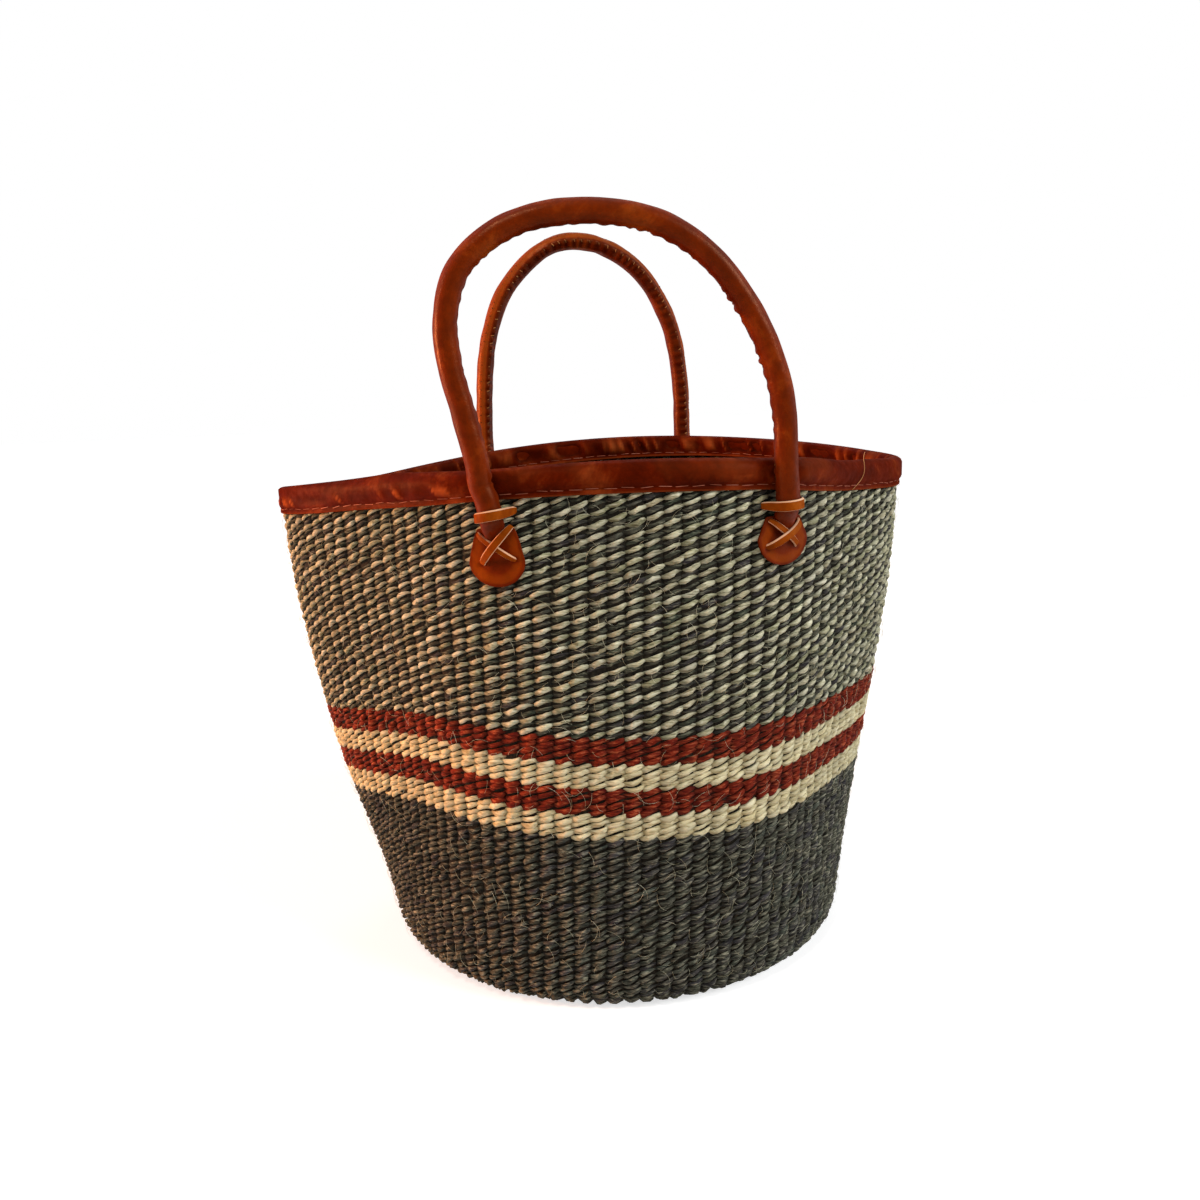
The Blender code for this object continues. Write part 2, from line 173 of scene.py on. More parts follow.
forward = Vector((math.sin(camera_yaw) * math.cos(camera_pitch),
                  math.cos(camera_yaw) * math.cos(camera_pitch), math.sin(camera_pitch)))
level_right = forward.cross(Vector((0, 0, 1))).normalized()
level_up = level_right.cross(forward)
right = level_right * math.cos(camera_roll) + level_up * math.sin(camera_roll)
above = level_up * math.cos(camera_roll) - level_right * math.sin(camera_roll)
turn = Matrix((right, above, -forward)).transposed().to_4x4()
bpy.ops.object.select_all(action="DESELECT")
bpy.ops.object.camera_add()
camera = bpy.context.object
camera.matrix_world = Matrix.Translation(camera_place) @ turn
camera.data.lens = camera_lens
camera.data.sensor_width = 36
camera.data.clip_start = 0.01
bpy.context.scene.camera = camera
print("camera at", [round(v, 4) for v in camera_place], "lens", camera_lens)

# %% Lamps


def lamp(name, place, size, power, colour):
    """A square soft lamp that faces the basket."""
    bpy.ops.object.light_add(type="AREA", location=place)
    made = bpy.context.object
    made.name = name
    made.data.size = size
    made.data.energy = power
    made.data.color = colour
    aim = Vector((0, 0, 0.17)) - Vector(place)
    made.rotation_euler = aim.to_track_quat("-Z", "Y").to_euler()


lamp("left_lamp", (-1.95, 0.12, 0.42), 0.6, 46, (1.0, 0.38, 0.14))
lamp("shine_lamp", (-1.5, -0.3, 1.0), 0.18, 3.5, (1.0, 0.62, 0.42))
lamp("right_lamp", (1.40, -1.00, 1.25), 0.9, 25, (0.98, 0.99, 1.0))
lamp("top_lamp", (-0.5, -1.0, 1.75), 0.35, 11, (1.0, 0.95, 0.86))
lamp("back_lamp", (0.5, 1.5, 1.3), 1.0, 7, (1.0, 0.95, 0.88))

# %% [markdown]
# ## Making a finish
# Every finish here is a tree of nodes that starts from a few noises, so two small classes keep the
# joining of nodes short. Each step takes sockets or plain numbers and gives back a socket.

# %% The finish classes


def colour(red, green, blue):
    """A colour as seen, from 0 to 255, as the linear colour that a shader wants."""
    seen = [value / 255 for value in (red, green, blue)]
    return tuple(v / 12.92 if v < 0.04045 else ((v + 0.055) / 1.055) ** 2.4 for v in seen) + (1,)


class Tree:
    """A tree of shader nodes with short ways to add and join them."""

    def __init__(self, owner):
        owner.use_nodes = True
        self.nodes, self.links = owner.node_tree.nodes, owner.node_tree.links

    def node(self, kind, **settings):
        made = self.nodes.new("ShaderNode" + kind)
        for name, value in settings.items():
            setattr(made, name, value)
        return made

    def give(self, value, socket):
        """Join a socket, or set a plain value."""
        if isinstance(value, (int, float, tuple)):
            socket.default_value = value
        else:
            self.links.new(value, socket)

    def through(self, kind, inputs, output=0, **settings):
        """A new node's output, with its inputs given by name or number."""
        made = self.node(kind, **settings)
        for name, value in inputs.items():
            self.give(value, made.inputs[name])
        return made.outputs[output]

    def sum(self, operation, first, second=0):
        return self.through("Math", {0: first, 1: second}, operation=operation)

    def seen(self):
        """1 on rays that show the background: from the camera, or in a reflection or clear thing."""
        path = self.node("LightPath").outputs
        mirrored = self.sum("MAXIMUM", path["Is Camera Ray"], path["Is Glossy Ray"])
        return self.sum("MAXIMUM", mirrored, path["Is Transmission Ray"])


class Finish(Tree):
    """A material made of noises, ramps and mixes."""

    def __init__(self, name, roughness=0.7, specular=0.5, gloss_tint=(1, 1, 1, 1)):
        self.material = bpy.data.materials.new(name)
        super().__init__(self.material)
        self.shader = self.nodes["Principled BSDF"]
        self.shader.inputs["Roughness"].default_value = roughness
        self.shader.inputs["Specular IOR Level"].default_value = specular
        self.shader.inputs["Specular Tint"].default_value = gloss_tint

    def attribute(self, name, output="Fac"):
        return self.node("Attribute", attribute_name=name).outputs[output]

    def place(self, scale=(1, 1, 1), uv=None):
        """Object coordinates, or a UV map's, stretched by this scale."""
        source = self.node("UVMap", uv_map=uv) if uv else self.node("TexCoord")
        return self.through("Mapping", {"Scale": scale, "Vector": source.outputs["UV" if uv else "Object"]})

    def noise(self, where, scale, detail=2, rough=0.5, warp=0):
        return self.through("TexNoise", {"Vector": where, "Scale": scale, "Detail": detail,
                                         "Roughness": rough, "Distortion": warp}, "Fac")

    def ramp(self, factor, *stops):
        """A ramp through stops of (place, colour or number)."""
        made = self.node("ValToRGB")
        band = made.color_ramp.elements
        while len(band) < len(stops):
            band.new(0.5)
        for element, (where, shade) in zip(band, stops):
            element.position = where
            element.color = shade if isinstance(shade, tuple) else (shade, shade, shade, 1)
        self.give(factor, made.inputs[0])
        return made.outputs[0]

    def mix(self, factor, first, second):
        return self.through("Mix", {0: factor, 6: first, 7: second}, 2, data_type="RGBA")

    def paint(self, shade):
        self.give(shade, self.shader.inputs["Base Color"])

    def rough(self, value):
        self.give(value, self.shader.inputs["Roughness"])

    def bump(self, height, distance, strength=1.0, **under):
        """A bump, over another one where Normal is given."""
        raised = self.through("Bump", {"Height": height, "Distance": distance, "Strength": strength, **under})
        self.give(raised, self.shader.inputs["Normal"])
        return raised


# %% [markdown]
# ## Sky and floor
# The sky lights everything evenly. To the camera and in reflections the sky and the floor are white,
# as in a studio. The floor glows a little, less where the basket stands, so that it keeps its shadow.

# %% Sky and floor
sky_strength = 0.13
world = bpy.data.worlds.new("studio")
bpy.context.scene.world = world
sky = Tree(world)
sky.nodes.clear()
even = sky.through("Background", {"Color": (0.97, 0.98, 1.0, 1), "Strength": sky_strength})
white = sky.through("Background", {"Color": (1, 1, 1, 1)})
choice = sky.through("MixShader", {0: sky.seen(), 1: even, 2: white})
sky.give(choice, sky.node("OutputWorld").inputs[0])

near_glow, far_glow = 0.68, 0.90
bpy.ops.mesh.primitive_plane_add(size=30, location=(0, 0, -0.0002))
floor = bpy.context.object
floor.name = "floor"
pale = Finish("pale_floor", 0.9, 0.1)
pale.paint((0.66, 0.66, 0.66, 1))
away = pale.through("VectorMath", {0: pale.node("TexCoord").outputs["Object"]}, "Value", operation="LENGTH")
rising = pale.through("MapRange", {"Value": away, "From Min": 0.35, "From Max": 1.6, "To Min": near_glow,
                                   "To Max": far_glow})
glow = pale.through("Emission", {"Strength": pale.sum("MULTIPLY", pale.seen(), rising)})
both = pale.through("AddShader", {0: pale.shader.outputs[0], 1: glow})
pale.give(both, pale.nodes["Material Output"].inputs["Surface"])
floor.data.materials.append(pale.material)
bpy.context.scene.view_settings.view_transform = "Standard"

# %% [markdown]
# ## Sisal
# Sisal yarn is a loose bundle of long shiny fibres. A strand is streaked along its length, and each
# stitch has a tone of its own, because the dye and the fibres vary. The weave stores that tone as an
# attribute, with a number that picks among the yarn's tints and one that says how deep in the weave
# a place lies: deeper places are painted darker, as painted shade. Its UV map runs in metres along
# and round the strand, so the streaks follow it.

# %% Sisal finishes


def sisal(name, tints, deep, pale, streak=0.75, sunk_shade=0.80):
    """Yarn whose stitches take one of these tints, with fibres from a deep to a pale tone, and painted shade
    towards the deep tone where the weave lies deep.
    """
    made = Finish(name, specular=0.12)
    deep, pale = colour(*deep), colour(*pale)
    split = made.node("SeparateXYZ")
    made.give(made.attribute("yarn", "Vector"), split.inputs[0])
    tone, tint, depth = split.outputs
    body = made.ramp(tint, *[(i / (len(tints) - 1), colour(*shade)) for i, shade in enumerate(tints)])
    coarse = made.noise(made.place((170, 760, 1), "strand"), 1, detail=3, rough=0.65)
    fine = made.noise(made.place((300, 2300, 1), "strand"), 1, detail=2, rough=0.6)
    fibre = made.sum("ADD", made.sum("MULTIPLY", coarse, 0.66), made.sum("MULTIPLY", fine, 0.34))
    shade = made.mix(made.ramp(fibre, (0.39, streak), (0.49, 0.0)), body, deep)
    shade = made.mix(made.ramp(fibre, (0.51, 0.0), (0.62, streak)), shade, pale)
    # Painted shade: the deeper in the weave a place lies, the more it takes the deep tone
    shade = made.mix(made.sum("MULTIPLY", depth, sunk_shade), shade, deep)
    value = made.sum("ADD", made.sum("MULTIPLY", tone, 0.60), 0.72)
    made.paint(made.through("HueSaturation", {"Value": value, "Color": shade}))
    made.bump(fibre, 0.0009)
    made.rough(made.ramp(fibre, (0.3, 0.85), (0.7, 0.55)))
    return made.material


pale_yarn = sisal("pale_yarn", [(150, 150, 116), (188, 186, 152), (200, 198, 168), (178, 170, 138),
                                (210, 208, 182)], (74, 70, 46), (236, 234, 212))
dark_yarn = sisal("dark_yarn", [(54, 56, 46), (78, 79, 66), (60, 56, 60), (72, 69, 58), (58, 66, 54)],
                  (10, 9, 7), (154, 154, 130))
grey_yarn = sisal("grey_yarn", [(66, 66, 56), (86, 87, 74), (62, 60, 64), (80, 77, 66), (70, 76, 68)],
                  (8, 8, 7), (170, 168, 146))
red_yarn = sisal("red_yarn", [(99, 19, 6), (124, 36, 13), (110, 26, 8)], (34, 2, 0), (190, 98, 62))
cream_yarn = sisal("cream_yarn", [(212, 202, 160), (226, 218, 180), (204, 192, 148)],
                   (136, 116, 74), (242, 236, 210), streak=0.60, sunk_shade=0.56)
warp_yarn = sisal("warp_yarn", [(34, 30, 22), (44, 38, 28)], (12, 10, 7), (66, 58, 42))
print("sisal finishes made")

# %% [markdown]
# ## Rods drawn by hand
# Strands, stitches, threads and loose fibres are all thin rods. One of each is modelled by hand: a
# ring is added, then extruded from place to place and scaled on the way. Its copies are laid out
# with arrays, because laying twelve thousand stitches with an operator each would take hours.

# %% Draw a rod


def deselect_all():
    for thing in bpy.context.selected_objects:
        thing.select_set(False)


def points_of(made):
    return np.array([vertex.co for vertex in made.data.vertices])


def move_points(made, points):
    made.data.vertices.foreach_set("co", points.astype(np.float32).ravel())
    made.data.update()


def faces_out(made):
    """Turn the faces of a closed mesh outward."""
    bpy.context.view_layer.objects.active = made
    bpy.ops.object.mode_set(mode="EDIT")
    bpy.ops.mesh.select_all(action="SELECT")
    bpy.ops.mesh.normals_make_consistent(inside=False)
    bpy.ops.object.mode_set(mode="OBJECT")


def joined(parts):
    deselect_all()
    for part in parts:
        part.select_set(True)
    bpy.context.view_layer.objects.active = parts[0]
    if len(parts) > 1:
        bpy.ops.object.join()
    return parts[0]


def taken(made, name):
    """A copy of a modelled object's mesh; the object itself goes."""
    mesh = made.data.copy()
    mesh.name = name
    bpy.data.objects.remove(made, do_unlink=True)
    return mesh


def drawn_rod(sides, centres, sizes):
    """Points of a rod along x, as (rings, sides, 3). Its sizes are how far out and up each ring goes."""
    deselect_all()
    bpy.ops.mesh.primitive_circle_add(vertices=sides, radius=1, rotation=(0, pi / 2, 0))
    made = bpy.context.object
    bpy.ops.object.transform_apply(location=False, rotation=True, scale=True)
    bpy.ops.object.mode_set(mode="EDIT")
    bpy.ops.mesh.select_all(action="SELECT")
    centres = [Vector(centre) for centre in centres]
    deep, high = sizes[0]
    bpy.ops.transform.resize(value=(1, deep, high), center_override=(0, 0, 0))
    bpy.ops.transform.translate(value=centres[0])
    for before, centre, old, new in zip(centres, centres[1:], sizes, sizes[1:]):
        bpy.ops.mesh.extrude_edges_move(TRANSFORM_OT_translate={"value": centre - before})
        bpy.ops.transform.resize(value=(1, new[0] / old[0], new[1] / old[1]), center_override=centre)
    bpy.ops.object.mode_set(mode="OBJECT")
    points = points_of(made).reshape(len(centres), sides, 3)
    bpy.data.objects.remove(made, do_unlink=True)
    rings = []
    for ring, centre, (deep, high) in zip(points, centres, sizes):
        spread = ring - np.array(centre)
        rings.append(ring[np.argsort(np.arctan2(spread[:, 2] / high, spread[:, 1] / deep))])
    return np.array(rings)


def placed(name, mesh, finishes, nodes=(), body=root):
    """An object of this mesh that rides on a body and stands for CAD nodes."""
    for finish in finishes if isinstance(finishes, list) else [finishes]:
        mesh.materials.append(finish)
    mesh.shade_smooth()
    made = bpy.data.objects.new(name, mesh)
    bpy.context.scene.collection.objects.link(made)
    if body:
        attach(made, body)
    if nodes:
        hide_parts(*nodes)
    print(name, sum(len(face.vertices) - 2 for face in mesh.polygons), "triangles")
    return made


def ring_faces(rings, sides, closed):
    """Faces between rings, with the ring and side numbers of their corners."""
    ring = np.arange(rings if closed else rings - 1)[:, None] + np.zeros((1, sides), int)
    side = np.arange(sides)[None, :] + 0 * ring
    number = np.stack([ring, ring + 1, ring + 1, ring], -1)
    turn = np.stack([side, side, side + 1, side + 1], -1)
    faces = number % rings * sides + turn % sides
    return faces.reshape(-1, 4), number.reshape(-1), turn.reshape(-1)


def ringed_mesh(name, points, along, around, closed=False, uv="strand", twist=0.0, **attributes):
    """A mesh of tubes from points (tubes, rings, sides, 3), with UV places along and around them.

    along is (tubes, rings), with one more column where the tube closes on itself.
    """
    tubes, rings, sides, _ = points.shape
    faces, number, turn = ring_faces(rings, sides, closed)
    first = (np.arange(tubes) * rings * sides)[:, None, None]
    quads = (faces[None] + first).reshape(-1, 4)
    corners = np.stack([along[:, number], around[turn] + twist * along[:, number]], -1)
    polygons = quads.tolist()
    if not closed:
        for tube in range(tubes):
            start = tube * rings * sides
            polygons.append(list(range(start, start + sides)))
            last = start + (rings - 1) * sides
            polygons.append(list(range(last, last + sides))[::-1])
        ends = np.stack([np.repeat(along[:, [0, rings - 1]], sides, 1),
                         np.broadcast_to(np.tile(around[:sides], 2), (tubes, 2 * sides))], -1)
        corners = np.concatenate([corners.reshape(-1, 2), ends.reshape(-1, 2)])
    mesh = bpy.data.meshes.new(name)
    mesh.from_pydata(points.reshape(-1, 3), [], polygons)
    layer = mesh.uv_layers.new(name=uv)
    layer.uv.foreach_set("vector", corners.astype(np.float32).ravel())
    for label, values in attributes.items():
        kind = "FLOAT" if values.ndim == 1 else "FLOAT_VECTOR"
        field = "value" if values.ndim == 1 else "vector"
        mesh.attributes.new(label, kind, "POINT").data.foreach_set(
            field, values.astype(np.float32).ravel())
    return mesh


# %% [markdown]
# ## One turn of a strand
# In twining, two strands turn round each other, and at each turn a warp passes between them. So a
# strand goes over one warp on the outside and under the next one on the inside, and it is pinched
# thin where the two cross. The outer half of a turn has more rings, because it is what shows.

# %% Model a turn
strand_sides = 6
outer_phases = [-104, -66, -22, 22, 66, 103]
inner_phases = [143, 219]
turn_phases = [math.radians(phase) for phase in outer_phases + inner_phases]
turn_swells = (0.04, 0.60, 0.97, 0.98, 0.64, 0.08, 0.75, 0.80)
turn_stands = [0.85 * math.cos(phase) + 0.08 * math.sin(phase) + 0.17 for phase in turn_phases]


def strand_turn(bow, slant, half_depth, half_height, pinch):
    """The rings of one turn, as (phases, sides, 2): how far out and up each point is.

    A stitch comes thin from under the one before it, swells, and dives again, like a slanting leaf.
    """
    sizes = [pinch + (1 - pinch) * swell for swell in turn_swells]
    step = 0.001
    centres = [(i * step, bow * stand, slant * math.sin(phase))
               for i, (stand, phase) in enumerate(zip(turn_stands, turn_phases))]
    return drawn_rod(strand_sides, centres, [(half_depth * s, half_height * s) for s in sizes])[..., 1:]


# %% [markdown]
# ## Rows of twining
# A row is half a basket's number of turns, laid end to end, and its second strand is the first one
# moved on by one warp. No two stitches are alike: the hand pulls each a little tighter or looser, so
# each gets its own size, stand and tone.

# %% Where the warps are
warp_count = 108
warp_reference_lift = corner_length + 0.17

fine_angles = np.linspace(-pi, pi, 4001)
run = run_along(wall_place(fine_angles, warp_reference_lift))


def warp_angle(position):
    """The angle of a place counted in warps round the basket, which stand evenly at mid height."""
    position = np.asarray(position, float)
    whole = np.floor(position / warp_count)
    part = (position / warp_count - whole) * run[-1]
    return np.interp(part, run, fine_angles) + 2 * pi * whole


print("warps", warp_count, "every", round(run[-1] / warp_count * 1000, 2), "mm")

# %% Lay rows
random = np.random.default_rng(11)
tone_spread = 0.17


def slow_waves(position, count, size):
    """A gentle random wave round the basket for each of count rows."""
    total = 0
    for crests in (2, 3, 5, 9, 14):
        share = random.normal(size=(count, 1)) / crests ** 0.5
        start = random.uniform(0, 2 * pi, (count, 1))
        total = total + share * np.sin(crests * 2 * pi * position / warp_count + start)
    return total * size


def laid_strands(lifts, first_warps, rings, warps=warp_count, calm=1.0):
    """Points, UV places and yarn values of a strand in each row, each starting over its first warp."""
    turns = warps // 2
    count = len(lifts)
    phases = np.array(turn_phases)
    position = (2 * np.arange(turns)[:, None] + phases[None, :] / pi).ravel()
    position = position[None, :] + np.asarray(first_warps, float)[:, None]
    share = position / warps * warp_count
    lift = np.asarray(lifts)[:, None] + slow_waves(share, count, 0.00010 * calm)
    over = np.array(turn_swells)[None, :]

    def each(size):
        """A random number for each stitch, 0 where the strands cross."""
        outer = random.normal(size=(count, turns, 1)) * size
        inner = random.normal(size=(count, turns, 1)) * size
        split = np.where(np.arange(len(phases)) < len(outer_phases), outer, inner)
        return (split * over).reshape(count, -1)

    size = 1 + each(0.13)[..., None]
    out = rings[None, :, :, 0].repeat(turns, 0).reshape(1, -1, strand_sides)
    up = rings[None, :, :, 1].repeat(turns, 0).reshape(1, -1, strand_sides)
    middle_out = out.mean(-1, keepdims=True)
    middle_up = up.mean(-1, keepdims=True)
    out = middle_out + (out - middle_out) * size + np.sign(middle_out) * each(0.00018)[..., None]
    up = middle_up + (up - middle_up) * size + each(0.00028)[..., None]
    strayed = each(0.10) + random.normal(size=share.shape) * 0.04 + slow_waves(share, count, 0.08)
    position = share + strayed * calm * warp_count / warps
    around = warp_angle(position)[..., None]
    height = lift[..., None] + up
    points = wall_place(around, height) + wall_out(around, height) * (out - wall / 2)[..., None]
    points[..., 2] = np.maximum(points[..., 2], 0)    # pressed flat where the basket stands
    along = np.arange(turns * len(phases) + 1) * 0.0021 + random.uniform(0, 40, (count, 1))
    tone = 0.5 + random.normal(size=(count, turns, 1)) * tone_spread
    tone = tone + random.normal(size=(count, 1, 1)) * tone_spread * 0.35
    tint = random.uniform(0, 1, (count, turns, 1))
    # How deep in the weave each ring lies; the yarn finish paints shade there
    depth = np.clip(1 - np.array(turn_stands), 0, 1)[None, None, :] ** 1.2
    shape = (count, turns, len(phases))
    yarn = np.stack([np.broadcast_to(v, shape).reshape(count, -1) for v in (tone, tint, depth)], -1)
    yarn = np.repeat(yarn[:, :, None, :], strand_sides, 2)
    return points, along, yarn


strand_round = np.arange(strand_sides + 1) * 0.0013


def woven(name, strands, finish, nodes):
    """One piece from sets of strands that close on themselves."""
    parts = []
    for points, along, yarn in strands:
        mesh = ringed_mesh(name, points, along, strand_round, True, twist=0.3, yarn=yarn.reshape(-1, 3))
        parts.append(bpy.data.objects.new(name, mesh))
        bpy.context.scene.collection.objects.link(parts[-1])
    return placed(name, taken(joined(parts), name), finish, nodes)


# %% [markdown]
# ## The wall's bands
# From the floor up: dark grey, cream, red, cream, red and the tall mottled band, which pairs a pale
# strand with a dark one. There each row starts one warp further on than the row below, so pale and
# dark stitches change places like a chequerboard. The grey rows are twined steeper and looser, so
# the warps show through them as ribs.

# %% Weave the bands
grey_height = 0.0962
stripe_height = 0.0130
grey_rows = 32
stripe_rows = 4
mottled_rows = 44
grey_top = corner_length + grey_height - base_corner
stripes_top = grey_top + 4 * stripe_height


def row_lifts(bottom, top, count):
    return bottom + (top - bottom) * (np.arange(count) + 0.5) / count


grey_turn = strand_turn(0.00175, 0.00148, 0.00125, 0.00138, 0.30)
lifts = row_lifts(0, grey_top, grey_rows)
for name, rows in (("grey_rows_lower", lifts[:16]), ("grey_rows_upper", lifts[16:])):
    woven(name, [laid_strands(rows, np.zeros(16), grey_turn), laid_strands(rows, np.ones(16), grey_turn)],
          grey_yarn, ["grey_band"])

stripe_turn = strand_turn(0.00165, 0.00124, 0.00112, 0.00170, 0.50)
stripe_names = ("cream_band_lower", "red_band_lower", "cream_band_upper", "red_band_upper")
for number, name in enumerate(stripe_names):
    bottom = grey_top + stripe_height * number
    rows = row_lifts(bottom, bottom + stripe_height, stripe_rows)
    red = name.startswith("red")
    woven(name.replace("band", "rows"),
          [laid_strands(rows, np.zeros(4), stripe_turn), laid_strands(rows, np.ones(4), stripe_turn)],
          red_yarn if red else cream_yarn, [name])

pale_turn = strand_turn(0.00165, 0.00134, 0.00108, 0.00154, 0.18)
dark_turn = strand_turn(0.00112, 0.00126, 0.00100, 0.00126, 0.22)
lifts = row_lifts(stripes_top, wall_lift, mottled_rows)
for part, first, last in (("lower", 0, 22), ("upper", 22, mottled_rows - 2)):
    numbers = np.arange(first, last)
    for shade, yarn, start, rings in (("pale", pale_yarn, 0, pale_turn), ("dark", dark_yarn, 1, dark_turn)):
        woven(f"mottled_rows_{shade}_{part}",
              [laid_strands(lifts[first:last], (numbers + start) % 2, rings)],
              yarn, ["mottled_band"])

# %% [markdown]
# ## The base
# The base is twined in the same way, in rings on a flat star of warps. Warps are added as the rings
# widen, so the inner rings have fewer. Its rows lie a little flatter, because it stands on them.

# %% Twine the base
base_rows = 32
base_turn = strand_turn(0.00105, 0.00140, 0.00100, 0.00188, 0.50)
disc_radius = base_radius - base_corner
rings_by_warps = {}
for lift in -row_lifts(0, disc_radius - 0.003, base_rows):
    around = 2 * pi * (disc_radius + lift)
    warps = 108 if around > 0.47 else 54 if around > 0.24 else 28 if around > 0.11 else 14
    rings_by_warps.setdefault(warps, []).append(lift)
strands = []
for warps, rows in rings_by_warps.items():
    for start in (0, 1):
        strands.append(laid_strands(rows, np.full(len(rows), start), base_turn, warps, calm=0.3))
woven("base_rows", strands, grey_yarn, ["base_disc"])

# %% [markdown]
# ## The warps
# The warps are thick soft cords that the strands press flat. They hardly show, but they fill the
# wall: without them light would shine through between the stitches. Each is an oval rod that runs
# up the middle of the wall, and over the base to its centre.

# %% Lay the warps
warp_lifts = np.concatenate([np.linspace(-disc_radius + 0.0004, -0.004, 10),
                             np.linspace(0, corner_length, 6), np.linspace(0.031, wall_lift - 0.005, 26)])
turns = np.arange(6) * pi / 3
warp_half_width = 0.56      # of the space between two warps, so that neighbours touch
position = np.arange(warp_count)[:, None, None] + warp_half_width * np.cos(turns) + 0 * warp_lifts[:, None]
around = warp_angle(position)
height = np.broadcast_to(warp_lifts[None, :, None], around.shape)
out = -wall / 2 + 0.00062 * np.sin(turns)
points = wall_place(around, height) + wall_out(around, height) * (out + 0 * around)[..., None]
# The third value, depth, paints the warps partly into shade towards their deep tone
yarn = np.full((points.size // 3, 3), 0.5)
along = np.tile(warp_lifts, (warp_count, 1)) + random.uniform(0, 30, (warp_count, 1))
mesh = ringed_mesh("warps", points, along, np.arange(7) * 0.0017, yarn=yarn)
placed("warps", mesh, warp_yarn)

# %% [markdown]
# ## Leather
# The leather is cowhide dyed a cognac brown and rubbed with fat, so it shines softly. It is blotchy,
# and paler where it is cut. A point attribute from -1 to 1 paints shade into its folds, pleats and
# holes, and under the laces, and paler tones above 0, partly painted highlights on wrinkle crests.
# Fine cells give the grain.

# %% Leather finishes


pore_scale = 900
mottle_scale = 260
blotch_scale = 38


def hide(name, main, deep, pale, roughness, gloss, uv=None):
    """Blotchy leather, painted darker where its attribute is below 0, as painted shade, and paler above 0,
    partly as painted highlights.
    """
    made = Finish(name, roughness, specular=gloss, gloss_tint=(1.0, 0.46, 0.20, 1))
    main, deep, pale = (colour(*shade) for shade in (main, deep, pale))
    here = made.place(uv=uv)
    clouds = made.noise(here, blotch_scale, detail=5, rough=0.62, warp=0.4)
    mottle = made.noise(here, mottle_scale, detail=3, rough=0.6)
    crease = made.attribute("crease")
    shade = main
    for cause, start, end, tint in (
            (clouds, (0.32, 0.75), (0.60, 0.0), deep), (clouds, (0.55, 0.0), (0.80, 0.55), pale),
            (mottle, (0.35, 0.35), (0.60, 0.0), deep),
            # Painted shade below 0, and paler tones above 0, partly painted highlights
            (made.sum("MULTIPLY", crease, -1), (0.0, 0.0), (1.0, 0.9), deep),
            (crease, (0.0, 0.0), (1.0, 0.75), pale)):
        shade = made.mix(made.ramp(cause, start, end), shade, tint)
    made.paint(shade)
    pores = made.through("TexVoronoi", {"Vector": here, "Scale": pore_scale}, "Distance")
    made.bump(mottle, 0.0004, 0.35, Normal=made.bump(pores, 0.00012, 0.35))
    edge_on = made.node("LayerWeight").outputs["Facing"]    # duller where it turns away, as greased hide is
    worn = made.ramp(mottle, (0.3, roughness + 0.14), (0.7, roughness - 0.06))
    made.rough(made.sum("ADD", worn, made.ramp(edge_on, (0.35, 0.0), (0.80, 0.5))))
    return made.material


rim_hide = hide("rim_hide", (104, 26, 2), (46, 4, 0), (190, 92, 42), 0.42, 0.045, "strip")
tube_hide = hide("tube_hide", (123, 38, 0), (60, 9, 0), (184, 92, 30), 0.28, 0.17, "strip")
patch_hide = hide("patch_hide", (126, 40, 0), (74, 13, 0), (166, 76, 10), 0.42, 0.14)
lace_hide = hide("lace_hide", (158, 74, 8), (106, 36, 2), (192, 110, 46), 0.48, 0.10)
raw_edge = hide("raw_edge", (242, 196, 160), (190, 130, 90), (250, 224, 200), 0.8, 0.1)
thread_finish = hide("thread", (204, 122, 98), (70, 24, 12), (232, 170, 146), 0.6, 0.1)
whip_finish = hide("whip_thread", (178, 116, 66), (40, 8, 2), (226, 172, 116), 0.5, 0.2)
print("leather finishes made")

# %% [markdown]
# ## The rim binding
# The wall's warps are folded over at the mouth into a roll, and a leather strip is folded over it.
# A running stitch below the roll pulls the strip flat, so it swells above the stitch like a cushion
# and leaves a small flat flange below it. Leather can't shrink round a curve, so the inner side
# gathers into small pleats. The strip's section is swept round the rim with those ripples in it.

# %% The strip's section
binding_drop = 0.0145
leather = 0.0012
rim_roll_radius = 0.0030
roll_drop = leather + gap + rim_roll_radius
stitch_drop = 0.0122
# Places round the outside of the strip, as (drop, out) in millimetres, from the outer flange to the inner
outside_places = (
    (14.5, 0.35), (14.7, 0.9), (14.4, 1.45), (13.6, 1.62), (12.9, 1.45), (12.2, 1.10), (11.6, 1.45),
    (10.8, 2.2), (9.6, 3.0), (8.0, 3.55), (6.2, 3.75), (4.4, 3.55), (2.8, 2.95), (1.4, 1.9), (0.45, 0.5),
    (0.0, -1.1), (-0.1, -2.6), (0.3, -4.2), (1.2, -5.6), (2.6, -6.7), (4.4, -7.3), (6.4, -7.5), (8.4, -7.3),
    (10.0, -6.8), (11.2, -6.2), (12.2, -5.75), (13.0, -6.1), (13.8, -6.3), (14.5, -6.0), (14.7, -5.4),
    (14.5, -4.85),
)
inside_places = ((12.0, -4.85), (8.0, -5.0), (4.5, -5.6), (2.0, -4.6), (1.3, -2.25), (2.0, 0.2), (4.5, 1.1),
                 (8.0, 0.5), (12.0, 0.35))
section = np.array(outside_places + inside_places) / 1000
outer_count = len(outside_places)
seats = ((-0.0640, -1), (0.0745, -1), (-0.0640, 1), (0.0735, 1))


def ripple(count, width=1.0):
    """A random wave round the basket with this many knots, smooth and closed."""
    knots = random.normal(size=count) * width

    def value(share):
        place = np.asarray(share) % 1 * count
        low = np.floor(place).astype(int)
        part = smooth_step(place - low)
        return knots[low % count] * (1 - part) + knots[(low + 1) % count] * part
    return value


